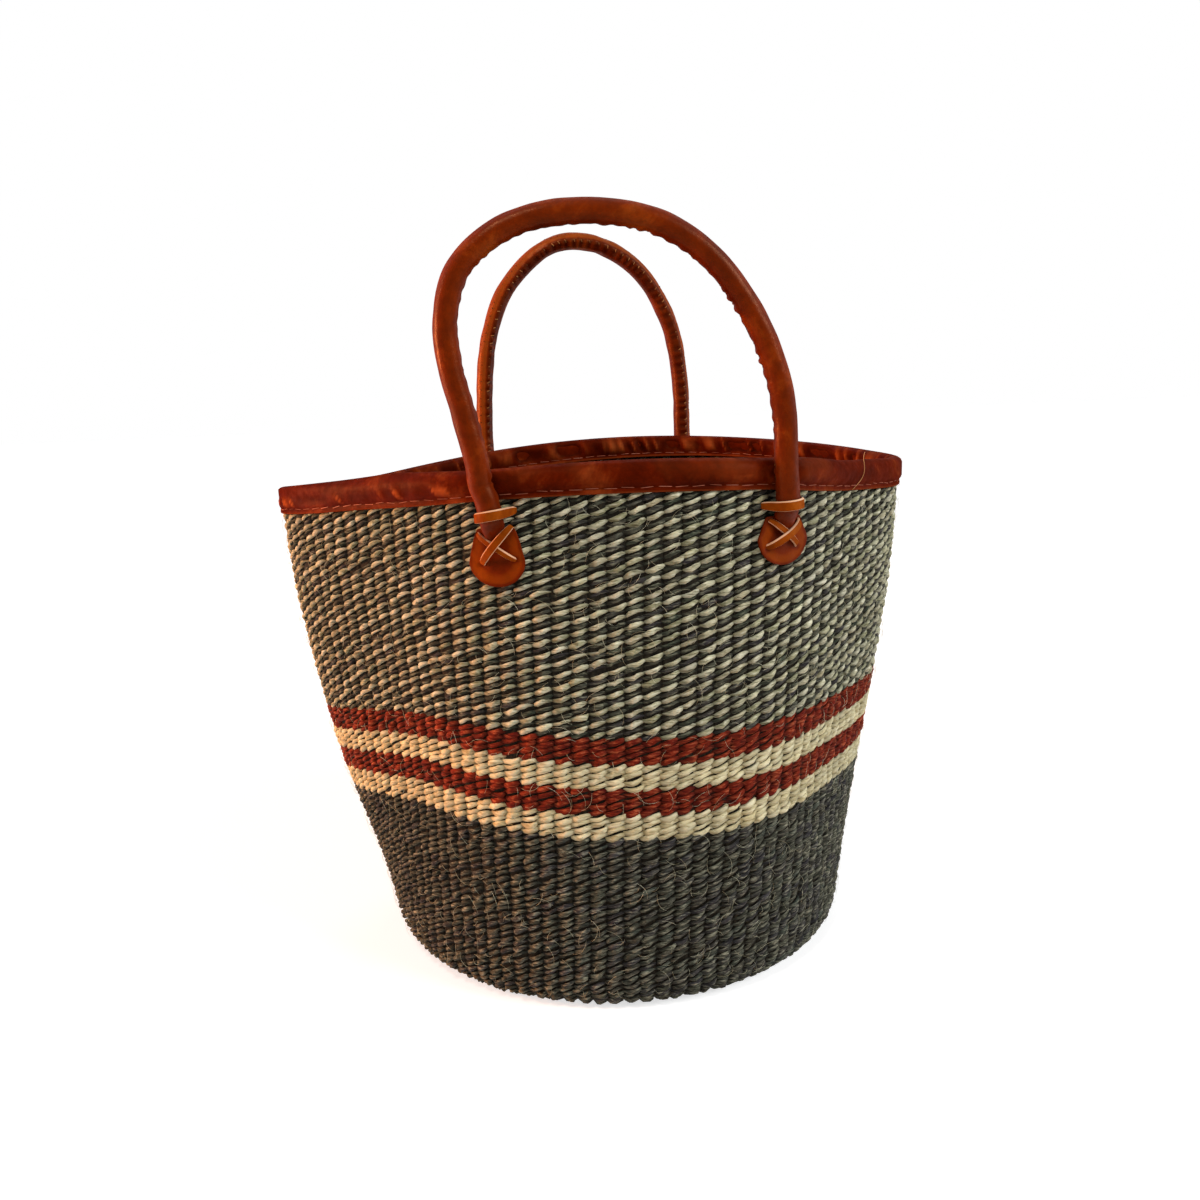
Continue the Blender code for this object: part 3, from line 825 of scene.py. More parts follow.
# The rim isn't quite level: how far its top and bottom edges hang down, in millimetres, at these angles
wave_angles = (-2.90, -2.70, -2.51, -2.31, -2.11, -1.13, -0.98, -0.85, -0.73, -0.54, -0.34, -0.14, 0.06, 0.25,
               0.45, 2.40, 2.68, 2.90)
top_hangs = (-2.4, -3.4, -4.4, -1.6, 0, 0, -0.6, 0.4, 1.4, 0.9, 1.8, 2.2, 2.4, 0.9, 0, 0, 2.4, 1.2)
bottom_hangs = (-0.2, -0.5, 0.4, 0.8, 0, 0, 1.6, 2.4, 2.7, 3.0, 4.0, 4.6, 4.0, 2.0, 0, 0, 0, 0)


def hung(angle, drop):
    """A drop below the rim's level top as a drop below its real, wavy one."""
    low = np.clip(np.asarray(drop) / binding_drop, 0, 1)
    near = np.asarray(angle)[..., None] + np.linspace(-0.09, 0.09, 7)
    top, bottom = (np.interp(near, wave_angles, hangs, period=2 * pi).mean(-1)
                   for hangs in (top_hangs, bottom_hangs))
    return drop + (top * (1 - low) + bottom * low) / 1000


# %% Press the strip where the tubes lie and at the mouth's ends
binding_steps = 620
around = np.linspace(-pi, pi, binding_steps, endpoint=False)[:, None]
share = (around + pi) / (2 * pi)
drop = np.broadcast_to(section[:, 0], (binding_steps, len(section))).copy()
out = np.broadcast_to(section[:, 1], (binding_steps, len(section))).copy()
fullest = 10                                        # the section's place that stands out most
middle = beside(around, lift_below(drop), 0 * drop)
near_seat = np.zeros((binding_steps, 1))
for seat, side in seats:
    at = middle[:, fullest:fullest + 1]
    near = 1 - smooth_step((np.abs(at[..., 0] - seat) - 0.0075) / 0.007)
    near_seat = np.maximum(near_seat, near * (at[..., 1] * side > 0))
narrow_end = smooth_step((np.abs(middle[:, fullest:fullest + 1, 0]) - 0.12) / 0.05)
under_tube = np.where(drop > 0.005, 0.0014, 0.0021)
at_end = np.where(middle[:, fullest:fullest + 1, 0] < 0, 0.0018, 0.0026)
for limit, where in ((under_tube, near_seat), (at_end, narrow_end)):
    out = out + (np.minimum(out, limit) - out) * where * (out > 0)

# %% Wrinkle the strip
outer_relief, inner_relief = 0.0007, 0.0010
outside_count = 17                                  # places before the section's inner side
number = np.arange(len(section))
outer_skin = number < outer_count
inner_side = (number >= outside_count) & outer_skin
puffed = np.clip((0.0118 - drop) / 0.004, 0, 1)     # flat below the stitch
left_half = smooth_step((-middle[..., :1, 0] - 0.02) / 0.08)
lumps = ripple(46)(share) * 0.45 + ripple(110)(share - drop * 0.3) * 0.25
slanted = ripple(130)(share - drop * 0.5) * 0.7 + ripple(280)(share - drop * 0.7) * 0.4
creased = 1 - 3.2 * np.abs(ripple(150)(share - drop * 0.8))
folded = 1 - 2.4 * np.abs(ripple(112)(share + drop * 0.35))
gathers = np.maximum(folded, -2.2) * 1.35 + ripple(300)(share) * 0.25
wrinkles = slanted * 0.35 + np.clip(creased, -0.5, 1) * 1.1
wrinkles = wrinkles * (0.15 + left_half) * smooth_step((drop - 0.004) / 0.006)
swell = (lumps * 0.40 + wrinkles) * (1 - 0.7 * near_seat)
swell = np.where(inner_side, lumps * 0.3 + gathers * np.clip(drop / 0.006, 0.25, 1), swell)
swell = swell * puffed * outer_skin
facing = np.sign(section[:, 1] + wall / 2)
out = out + swell * np.where(inner_side, inner_relief, outer_relief) * facing
points = beside(around, lift_below(hung(around, drop)), out)

# Painted shade in the valleys of the wrinkles and gathers and along the stitch line, paler on their crests,
# and painted highlights on the sharp crests low on the left; the cut lower edge is paler
crest_highlights = smooth_step((drop - 0.0055) / 0.004) * left_half * ~inner_side * puffed
crease = np.clip(swell * 0.75, -1, 1) * 0.8 + np.clip(creased - 0.3, 0, 1) * crest_highlights * 1.1
crease = crease + np.where((drop > 0.0138) & outer_skin, 0.35, 0)
crease = crease - np.exp(-((drop - stitch_drop) / 0.0005) ** 2) * 0.55
lengths = run_along(section)
along = np.linspace(0, 1.0, binding_steps + 1)[None]
mesh = ringed_mesh("rim_binding_strip", points[None], along, np.append(lengths, lengths[-1] + 0.002), True,
                   "strip", crease=crease.reshape(-1))
placed("rim_binding_strip", mesh, rim_hide, ["rim_binding"])

# %% Roll the warps' ends
roll_sides, roll_steps = 10, 400
turns = np.arange(roll_sides) * 2 * pi / roll_sides
around = np.linspace(-pi, pi, roll_steps, endpoint=False)[:, None]
bundle = rim_roll_radius * (0.86 + 0.10 * np.cos(3 * (turns + around * 22)))
lift = lift_below(hung(around, roll_drop - bundle * np.sin(turns)))
points = beside(around, lift, bundle * np.cos(turns) - wall / 2)
# The roll's depth of 0.5 paints it partly into shade towards its deep tone
mesh = ringed_mesh("warp_end_roll", points[None], np.linspace(0, 1, roll_steps + 1)[None],
                   np.arange(roll_sides + 1) * 0.0018, True, yarn=np.full((points.size // 3, 3), 0.5))
placed("warp_end_roll", mesh, warp_yarn, ["rim_roll"])

# %% [markdown]
# ## Frames on the wall
# Stitches, threads and fibres are stiff little copies of a drawn rod. Each is set in a frame: an
# origin, a direction along, one out and one up. This puts a rod in many frames at once.

# %% Set copies in frames


def wall_frames(angle, lift, out, turn=0):
    """Frames on the wall, turned this much up from level."""
    outward = wall_out(angle, lift)
    origin = wall_place(angle, lift) + outward * np.asarray(out)[..., None]
    along = unit(wall_place(np.add(angle, 0.001), lift) - wall_place(np.add(angle, -0.001), lift))
    up = np.cross(outward, along)
    turn = np.asarray(turn)[..., None]
    return origin, along * np.cos(turn) + up * np.sin(turn), outward, up * np.cos(turn) - along * np.sin(turn)


def copies(rod, frames):
    """Points of a rod's copies, as (copies, rings, sides, 3)."""
    origin, along, out, up = (part[:, None, None, :] for part in frames)
    return origin + along * rod[..., :1] + out * rod[..., 1:2] + up * rod[..., 2:]


# %% [markdown]
# ## The running stitch
# A thin waxed thread runs in and out through the strip, so that it shows as dashes with small gaps,
# outside and inside. One dash is a rod whose ends dive into the leather.

# %% Sew the rim
dash_count = 118
dash_length = 0.0066
dash_steps = (-1, -0.8, -0.4, 0.4, 0.8, 1)
dash_centres = [(dash_length * t / 2, 0.00030 * (1 - abs(t) ** 3) - 0.00022, 0) for t in dash_steps]
dash = drawn_rod(6, dash_centres, [(0.0001, 0.0001)] + [(0.00020, 0.00019)] * 4 + [(0.0001, 0.0001)])


def sewn_line(position, out):
    """Frames along the stitch line, which follows the strip's wavy edge."""
    angle = warp_angle(position)
    before, lift, after = (lift_below(hung(angle + step, stitch_drop)) for step in (-0.02, 0, 0.02))
    reach = np.linalg.norm(wall_place(angle + 0.02, lift) - wall_place(angle - 0.02, lift), axis=-1)
    slope = (after - before) / reach + random.normal(size=dash_count) * 0.06
    return wall_frames(angle, lift + random.normal(size=dash_count) * 0.00018, out + 0 * angle, slope)


position = (np.arange(dash_count) + random.normal(size=dash_count) * 0.05) * warp_count / dash_count
dashes = copies(dash, sewn_line(position, 0.00128))
origin, along, out, up = sewn_line(position + warp_count / dash_count / 2, -0.0059)
dashes = np.concatenate([dashes, copies(dash, (origin, -along, -out, up))])
along = np.tile(np.linspace(0, dash_length, 6), (len(dashes), 1))
mesh = ringed_mesh("rim_stitching", dashes, along, np.arange(7) * 0.0002,
                   crease=np.zeros(dashes.size // 3))
placed("rim_stitching", mesh, thread_finish)

# %% Leave the thread's end loose
end_angles = (-0.590, -0.618, -0.641, -0.655, -0.652, -0.662, -0.685, -0.705)
end_drops = (-0.0030, -0.0002, 0.0018, 0.0045, 0.0080, 0.0116, 0.0146, 0.0170)
end_outs = (-0.0004, 0.0008, 0.0030, 0.0044, 0.0042, 0.0036, 0.0026, 0.0016)
ends = beside(np.array(end_angles), lift_below(end_drops), end_outs)
deselect_all()
bpy.ops.curve.primitive_bezier_curve_add()
loose = bpy.context.object
loose.data.splines.clear()
thread = loose.data.splines.new("NURBS")
thread.points.add(len(ends) - 1)
for point, place in zip(thread.points, ends):
    point.co = (*place, 1)
thread.order_u = 4
thread.use_endpoint_u = True
loose.data.bevel_depth = 0.00016
loose.data.bevel_resolution = 2
loose.data.use_fill_caps = True
bpy.ops.object.convert(target="MESH")
mesh = taken(bpy.context.object, "loose_thread_end")
mesh.attributes.new("crease", "FLOAT", "POINT").data.foreach_set("value", np.full(len(mesh.vertices), 0.5))
placed("loose_thread_end", mesh, whip_finish)

# %% [markdown]
# ## The handles' line
# Each handle is one leather tube over a rope. Its ends lie on the rim and the wall, flatten under a
# keeper and taper to a tip under crossed laces, and its arch is a smooth curve through places taken
# from the photograph. The same places drive the CAD solids, so the line is worked out again here.

# %% Places of the handles
tube_radius = 0.0058
hinge_rise = 0.0045
binding_clearance = 0.0010
front_spread_middle = 0.00225
front_half_spread = 0.07375
front_rise = 0.1110
front_arch_shares = (
    (-1.0, 0.0), (-1.068, 0.216), (-1.13, 0.40), (-1.14, 0.60), (-1.03, 0.80), (-0.72, 0.95),
    (-0.29, 1.0), (0.17, 0.955), (0.52, 0.81), (0.78, 0.58), (0.93, 0.35), (0.99, 0.16), (1.0, 0.0),
)
back_spread_middle = 0.00325
back_half_spread = 0.07175
back_rise = 0.1335
back_arch_shares = (
    (-1.0, 0.0), (-0.985, 0.19), (-0.955, 0.375), (-0.89, 0.55), (-0.73, 0.755), (-0.42, 0.93),
    (-0.10, 1.0), (0.29, 0.96), (0.65, 0.81), (0.90, 0.555), (0.99, 0.27), (1.0, 0.0),
)
keeper_space = 0.0044
keeper_height = 0.0052
keeper_clearance = 0.0008
slit_space = 0.0014
patch_space = 0.0044
patch_height = 0.0255
patch_half_width = 0.0126
patch_neck_half_width = 0.0092
patch_thickness = 0.0015
lace_half_length = 0.0094
lace_width = 0.0036
lace_slope = math.radians(42)
lace_place_share = 0.325
left_patch_share = 1.05
right_patch_share = 0.95
tie_half_length = 0.0082
tie_height = 0.0036
tie_clearance = 0.0007
end_tip_shares = (0.87, 0.76, 0.59, 0.365)
end_top_shares = (1.0, 0.62, 0.30)
end_width_shares = (0.42, 0.68, 0.86, 0.96, 0.97, 1.0, 1.0)
end_depth_shares = (0.12, 0.18, 0.28, 0.52, 0.92, 1.0, 1.0)
keeper_drop = binding_drop + keeper_space + keeper_height / 2
patch_top_drop = keeper_drop + keeper_height / 2 + patch_space
lace_drop = patch_top_drop + patch_height * lace_place_share
keeper_half_width = tube_radius + keeper_clearance + leather + slit_space
tube_on_patch = gap + patch_thickness + gap
tube_on_leaf = gap + leather + gap
tube_on_roll = rim_roll_radius + gap + leather - wall / 2 + gap


def angle_at(x, lift, side, out=0.0):
    """Angles where places this far out from the wall have this x, on the front (-1) or back (1)."""
    x, lift = np.broadcast_arrays(np.asarray(x, float), np.asarray(lift, float))
    low = np.full(x.shape, -pi if side < 0 else pi)
    high = np.zeros(x.shape)
    for _ in range(40):
        middle = (low + high) / 2
        short = beside(middle, lift, out + 0 * x)[..., 0] < x
        low = np.where(short, middle, low)
        high = np.where(short, high, middle)
    return (low + high) / 2


def seat_frame(seat, drop, side):
    """A place on the wall, its outward direction and the level direction along it to +X."""
    lift = lift_below(drop)
    angle = angle_at(seat, lift, side)
    out = wall_out(angle, lift)
    along = level(np.stack([-out[..., 1], out[..., 0], 0 * out[..., 0]], -1)) * -side
    return wall_place(angle, lift), out, along


def on_wall(seat, drop, out, side):
    place, outward, _ = seat_frame(seat, drop, side)
    return place + outward * np.asarray(out)[..., None]


def smooth_route(points, steps):
    """Points at even steps along a smooth curve through the given ones."""
    points = np.asarray(points, float)
    ends = np.concatenate([[points[0] * 2 - points[1]], points, [points[-1] * 2 - points[-2]]])
    t = (np.arange(60) / 60)[:, None]
    fine = []
    for before, start, last, after in zip(ends, ends[1:], ends[2:], ends[3:]):
        fine.append((start * 2 + (last - before) * t + (before * 2 - start * 5 + last * 4 - after) * t ** 2
                     + (start * 3 - before - last * 3 + after) * t ** 3) / 2)
    fine = np.concatenate(fine + [points[-1:]])
    length = run_along(fine)
    wanted = np.linspace(0, length[-1], steps + 1)
    return np.stack([np.interp(wanted, length, fine[:, i]) for i in range(fine.shape[1])], -1)


def hinge_place(side, feet):
    stand = tube_on_roll + binding_clearance + tube_radius
    angles = angle_at(np.array(feet), wall_lift, side, stand)
    outermost = (beside(angles, wall_lift, stand + 0 * angles)[:, 1] * side).max()
    top = wall_place(angles, wall_lift)[:, 2].max()
    return np.array([0, outermost * side, top + hinge_rise])


def end_stations(foot, seat, side):
    """A handle's end from its tip up to its foot's x, as rows of place, half width and half depth."""
    drops = [keeper_drop + (lace_drop - keeper_drop) * share for share in end_tip_shares]
    drops += [keeper_drop * share for share in end_top_shares]
    stands = [tube_on_patch] * len(end_tip_shares) + [tube_on_leaf, tube_on_leaf, tube_on_roll]
    foot_angle = angle_at(foot, wall_lift, side, tube_on_roll + tube_radius)
    foot_seat = wall_place(foot_angle, wall_lift)[0]
    rows = []
    for drop, stand, wide, deep in zip(drops, stands, end_width_shares, end_depth_shares):
        x = seat + (foot_seat - seat) * smooth_step(1 - drop / keeper_drop)
        place, outward, _ = seat_frame(x, drop, side)
        depth = tube_radius * deep
        rows.append([*(place + level(outward) * (stand + depth)), tube_radius * wide, depth])
    return rows


handle_steps = 330
bend_reach = 0.010          # where a tube's stored start and end lie, below and above its hinge
handles = {}
for name, side, spread, half, rise, shares, ends in (
        ("front", -1, front_spread_middle, front_half_spread, front_rise, front_arch_shares, seats[:2]),
        ("back", 1, back_spread_middle, back_half_spread, back_rise, back_arch_shares, seats[2:])):
    feet = (spread - half, spread + half)
    hinge = hinge_place(side, feet)
    arch = [[*(hinge + np.array([spread + half * x, 0, rise * z])), tube_radius, tube_radius]
            for x, z in shares]
    left, right = (end_stations(foot, seat, side) for foot, (seat, _) in zip(feet, ends))
    line = smooth_route(left + arch + right[::-1], handle_steps)
    run_length = run_along(line[:, :3])
    handles[name] = dict(
        side=side, line=line, run=run_length, seats=ends, stations=(left, right),
        start=(0, hinge[1], hinge[2] - bend_reach), end=(0, hinge[1], hinge[2] + bend_reach))
    print(name, "handle: hinge", hinge.round(4), "length", run_length[-1].round(3))

# %% [markdown]
# ## The leather tubes
# The tube's edges meet in a seam towards the other handle, where whip stitches pucker the leather.
# The front handle hides its seam and shows only the scalloped edge. The back one turns it to the
# viewer: smooth leather, painted paler, above the seam, and pleats below it, painted with shade. The
# rings stand square on the line.
# The tube crosses the hinge.

# %% Make the tubes
tube_sides = 40
ridge_height = 0.00042
trough_depth = 0.00020
stitch_pitches = {"front": 0.0068, "back": 0.0056}
seam_degrees = {"front": (-40, -40), "back": (-64, -114)}      # at a handle's left and right end


def tube_frames(line, side):
    """Along, inner-side and outward directions at each place of a handle's line."""
    along = unit(np.gradient(line[:, :3], axis=0))
    outward = np.tile(np.array([0.0, side, 0.0]), (len(line), 1))
    inner = unit(np.cross(along, outward)) * -side
    outward = unit(np.cross(along, inner)) * side
    return along, inner, outward


def tube_rings(line, side, turns, spare):
    """Rings of a tube round a line; spare is how much each point stands proud."""
    _, inner, outward = (way[:, None] for way in tube_frames(line, side))
    wide = (line[:, 3:4] + spare) * np.cos(turns)
    deep = (line[:, 4:5] + spare) * np.sin(turns)
    return line[:, None, :3] + inner * wide[..., None] + outward * deep[..., None]


def wrapped(angle):
    return (angle + pi) % (2 * pi) - pi


for name, handle in handles.items():
    line, side, run_length = handle["line"], handle["side"], handle["run"]
    turns = np.arange(tube_sides)[None, :] * 2 * pi / tube_sides + 0 * run_length[:, None]
    first, last = np.radians(seam_degrees[name])
    handle["seam"] = first + (last - first) * smooth_step(run_length / run_length[-1] * 1.6 - 0.3)
    off_seam = wrapped(turns - handle["seam"][:, None])
    hand = ripple(70, 0.16)(run_length / 0.5)       # the hand's uneven spacing, in stitches
    handle["stitch_phase"] = run_length / stitch_pitches[name] + hand
    pull = 0.75 + 0.35 * ripple(64)(run_length / 0.5)[:, None]
    beat = np.cos(2 * pi * handle["stitch_phase"])[:, None] * pull
    full = smooth_step((line[:, 4:5] / tube_radius - 0.6) / 0.4)
    pleated = smooth_step((off_seam + 0.15) / 0.3) * (1 - smooth_step((off_seam - 0.60) / 0.5))
    ridge = np.exp(-(off_seam / 0.26) ** 2) * (ridge_height + 0.00018 * beat)
    trough = np.exp(-((np.abs(off_seam) - 0.50) / 0.2) ** 2) * trough_depth
    pleat = (np.exp(-(off_seam / 1.05) ** 2) * 0.00014 + pleated * 0.00026) * beat
    bend = ripple(60)(run_length[:, None] / 0.5 + 0.02 * np.sin(turns)) * 0.00012
    points = tube_rings(line, side, turns, (ridge - trough + pleat) * full + bend)
    smooth_side = smooth_step((-off_seam - 0.2) / 0.3) * (1 - smooth_step((-off_seam - 1.9) / 0.5))
    # Painted shade in the pleats and beside the seam; the back tube is painted paler above its seam
    crease = -pleated * (0.80 - 0.55 * beat) - np.exp(-((off_seam + 0.12) / 0.14) ** 2) * 0.7
    crease = np.clip(crease + smooth_side * (0.45 if side > 0 else 0), -1, 1) * full
    points, crease = points[:, ::-side], crease[:, ::-side]        # so that both tubes face outward
    mesh = ringed_mesh(f"{name}_handle_tube", points[None], run_length[None],
                       np.arange(tube_sides + 1) * 0.001, uv="strip", crease=crease.reshape(-1))
    tube = placed(f"{name}_handle_tube", mesh, tube_hide, body=None,
                  nodes=[f"{name}_handle_sleeve", f"{name}_left_handle_end", f"{name}_right_handle_end"])
    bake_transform(tube)

# %% [markdown]
# ## The rope inside
# The tube is rolled round a laid rope of three strands. It doesn't show, but it is what a repair
# would find, so it has its real form: three round strands that turn round each other.

# %% Lay the ropes
core_strands, core_sides = 3, 7
lay_radius = 0.00195
core_strand_radius = 0.0017
for name, handle in handles.items():
    line, side = handle["line"], handle["side"]
    kept = line[(line[:, 4] > tube_radius * 0.90)][::2]
    _, inner, outward = (way[None, :, None] for way in tube_frames(kept, side))
    strand = np.arange(core_strands)[:, None, None] * 2 * pi / core_strands
    lay = strand + (np.arange(len(kept)) * 0.16)[None, :, None]
    turns = np.arange(core_sides)[None, None, :] * 2 * pi / core_sides
    wide = lay_radius * np.cos(lay) + core_strand_radius * np.cos(turns)
    deep = lay_radius * np.sin(lay) + core_strand_radius * np.sin(turns)
    deep = deep * (kept[:, 4] / tube_radius)[None, :, None]
    points = kept[None, :, None, :3] + inner * wide[..., None] + outward * deep[..., None]
    # The rope's depth of 0.6 paints it partly into shade towards its deep tone
    mesh = ringed_mesh(f"{name}_handle_core", points[:, :, ::-side],
                       np.tile(np.arange(len(kept)) * 0.0024, (core_strands, 1)),
                       np.arange(core_sides + 1) * 0.0015, yarn=np.full((points.size // 3, 3), 0.6))
    core = placed(f"{name}_handle_core", mesh, cream_yarn, body=None,
                  nodes=[f"{name}_handle_rope", f"{name}_left_rope_end", f"{name}_right_rope_end"])
    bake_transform(core)

# %% [markdown]
# ## The whip stitches
# A pale thread is whipped over the handle's seam in slanting stitches. Each one lies in the pucker
# that it pulls into the leather. One is drawn as a rod that arches over the seam's ridge. Above the
# seam run two rows of holes, which the needle left: each is a short knob sunk in the leather and
# painted dark, as painted shade.

# %% Whip the seams
whip_steps = (-1, -0.75, -0.35, 0, 0.35, 0.75, 1)
whip_half = 0.0014
hole_half = 0.0005
whip = drawn_rod(6, [(whip_half * t, -0.0006 * t * t, 0) for t in whip_steps],
                 [(0.00010, 0.00014)] + [(0.00020, 0.00034)] * 5 + [(0.00010, 0.00014)])
hole = drawn_rod(6, [(hole_half * t, -0.00012 * t * t, 0) for t in whip_steps],
                 [(0.00008, 0.00012)] + [(0.00012, 0.00034)] * 5 + [(0.00008, 0.00012)])
# Each row's rod, its turn from the seam, its step along in stitches, its lean and how far out it stands
sewn_rows = ((whip, 0.0, 0.0, 0.42, 0.00014), (hole, -0.92, 0.1, 0.0, -0.00002),
             (hole, -1.42, 0.6, 0.0, -0.00002))
for name, handle in handles.items():
    line, side, run_length = handle["line"], handle["side"], handle["run"]
    phase = handle["stitch_phase"]
    sewn = phase[line[:, 4] > tube_radius * 0.95]
    counted = np.arange(math.ceil(sewn[0]) + 0.5, sewn[-1] - 0.5)
    ways = tube_frames(line, side)
    sewing = []
    for rod, turn_off, step, lean, stand in sewn_rows:
        at_run = np.interp(counted + step, phase, run_length)
        at = [np.stack([np.interp(at_run, run_length, way[:, i]) for i in range(3)], -1)
              for way in (line[:, :3], *ways)]
        place, along, inner, outward = at[0], unit(at[1]), unit(at[2]), unit(at[3])
        ring_turn = (np.interp(at_run, run_length, handle["seam"]) + turn_off)[:, None]
        radial = inner * np.cos(ring_turn) + outward * np.sin(ring_turn)
        round_way = outward * np.cos(ring_turn) - inner * np.sin(ring_turn)
        lean = (lean + random.normal(size=len(counted)) * 0.08)[:, None]
        reach = unit(round_way * np.cos(lean) + along * np.sin(lean))
        frames = (place + radial * (tube_radius + stand), reach, radial, np.cross(radial, reach))
        sewing.append(copies(rod, frames))
    points = np.concatenate(sewing)
    # The needle holes are painted darkest, as painted shade
    crease = np.full(points.shape[:3], -1.0)
    crease[:len(counted)] = 0
    mesh = ringed_mesh(f"{name}_handle_stitching", points,
                       np.tile(np.linspace(0, 2 * whip_half, 7), (len(points), 1)), np.arange(7) * 0.0003,
                       crease=crease.reshape(-1))
    sewing = placed(f"{name}_handle_stitching", mesh, whip_finish, body=None)
    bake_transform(sewing)

# %% [markdown]
# ## Straps
# Keepers, laces and ties are cut from one strip of leather, and their cut edges are pale. A strap is
# modelled flat by hand: a grid is extruded to its thickness and its edges are bevelled. It is then
# laid along a route, as the maker lays it over the tube.

# %% Cut a strap


def apply_modifier(made, kind, **settings):
    modifier = made.modifiers.new(kind.lower(), kind)
    for name, value in settings.items():
        setattr(modifier, name, value)
    bpy.context.view_layer.objects.active = made
    bpy.ops.object.modifier_apply(modifier=modifier.name)


def flat_strap(length, width, steps, ends, skived):
    """A flat strap along x, with its cut sides in the second material."""
    deselect_all()
    bpy.ops.mesh.primitive_grid_add(x_subdivisions=steps, y_subdivisions=5, size=1)
    made = bpy.context.object
    made.scale = (length, width, 1)
    bpy.ops.object.transform_apply(location=False, rotation=False, scale=True)
    for vertex in made.data.vertices:
        vertex.co.y *= 1 - (1 - ends) * abs(2 * vertex.co.x / length) ** 4
        vertex.co.z = -leather / 2
    bpy.ops.object.mode_set(mode="EDIT")
    bpy.ops.mesh.select_all(action="SELECT")
    bpy.ops.mesh.extrude_region_move(TRANSFORM_OT_translate={"value": (0, 0, leather)})
    bpy.ops.object.mode_set(mode="OBJECT")
    faces_out(made)
    for vertex in made.data.vertices:
        if vertex.co.z > 0:
            vertex.co.y *= 1 - (skived if vertex.co.y > 0 else skived * 0.3) / (width / 2)
    made.data.update()
    for face in made.data.polygons:
        face.material_index = int(abs(face.normal.y) > 0.6 or abs(face.normal.x) > 0.7)
    apply_modifier(made, "BEVEL", width=leather * 0.25, segments=2, limit_method="ANGLE",
                   angle_limit=math.radians(35), material=1)
    return made


def strap(route, width, across, out_hint, steps=32, ends=1.0, skived=0.0):
    """A strap along a route, its width along across, its face to out_hint and narrower at its ends.

    The knife leans, so the upper cut side slopes and shows its pale inside by skived.
    """
    length = run_along(route)[-1]
    made = flat_strap(length, width, steps, ends, skived)
    share = np.linspace(-length / 2, length / 2, len(route))
    along = unit(np.gradient(route, axis=0))
    across = unit(across - along * (across * along).sum(-1, keepdims=True))
    out = np.cross(along, across)
    out = out * np.sign(out[len(route) // 2] @ out_hint)
    flat = points_of(made)
    followed = [np.stack([np.interp(flat[:, 0], share, way[:, i]) for i in range(3)], -1)
                for way in (route, across, out)]
    move_points(made, followed[0] + followed[1] * flat[:, 1:2] + followed[2] * flat[:, 2:])
    if np.linalg.det([along[0], across[0], out[0]]) < 0:
        made.data.flip_normals()
    return made


def crease_of(made, values):
    made.data.attributes.new("crease", "FLOAT", "POINT").data.foreach_set(
        "value", np.asarray(values, np.float32))


def settle(name, made, finishes, nodes):
    """Take a hand-modelled mesh over as a finished piece at the origin."""
    if "crease" not in made.data.attributes:
        crease_of(made, np.zeros(len(made.data.vertices)))
    return placed(name, taken(made, name), finishes, nodes)


# %% [markdown]
# ## Patches
# A shield of leather spreads the pull of the laces over the weave. It is modelled flat: a ring takes
# the shield's outline, is drawn in ring by ring to its middle, thickened, bevelled and subdivided.
# Then each point is carried onto the wall, with the dents that the laces pull at their holes.

# %% Shape the patches
patch_neck_shares = (0.30, 0.06, 0.0)
patch_top_width_share = 0.88


def patch_outline(wide, high):
    """The shield's edge, as places across and below its top edge."""
    half_width = patch_half_width * wide
    neck = patch_neck_half_width * wide
    height = patch_height * high
    low = half_width * 0.98
    turns = [pi * i / 24 for i in range(25)]
    outline = [(half_width * math.cos(turn), height - low + low * math.sin(turn)) for turn in turns]
    widths = ((neck + half_width) / 2, neck, neck * patch_top_width_share)
    edge = [(width, height * share) for width, share in zip(widths, patch_neck_shares)]
    top = [(width * share, 0.0003 * share) for width, share in ((neck, -0.5), (neck, 0), (neck, 0.5))]
    return outline + [(-width, down) for width, down in edge] + top + edge[::-1]


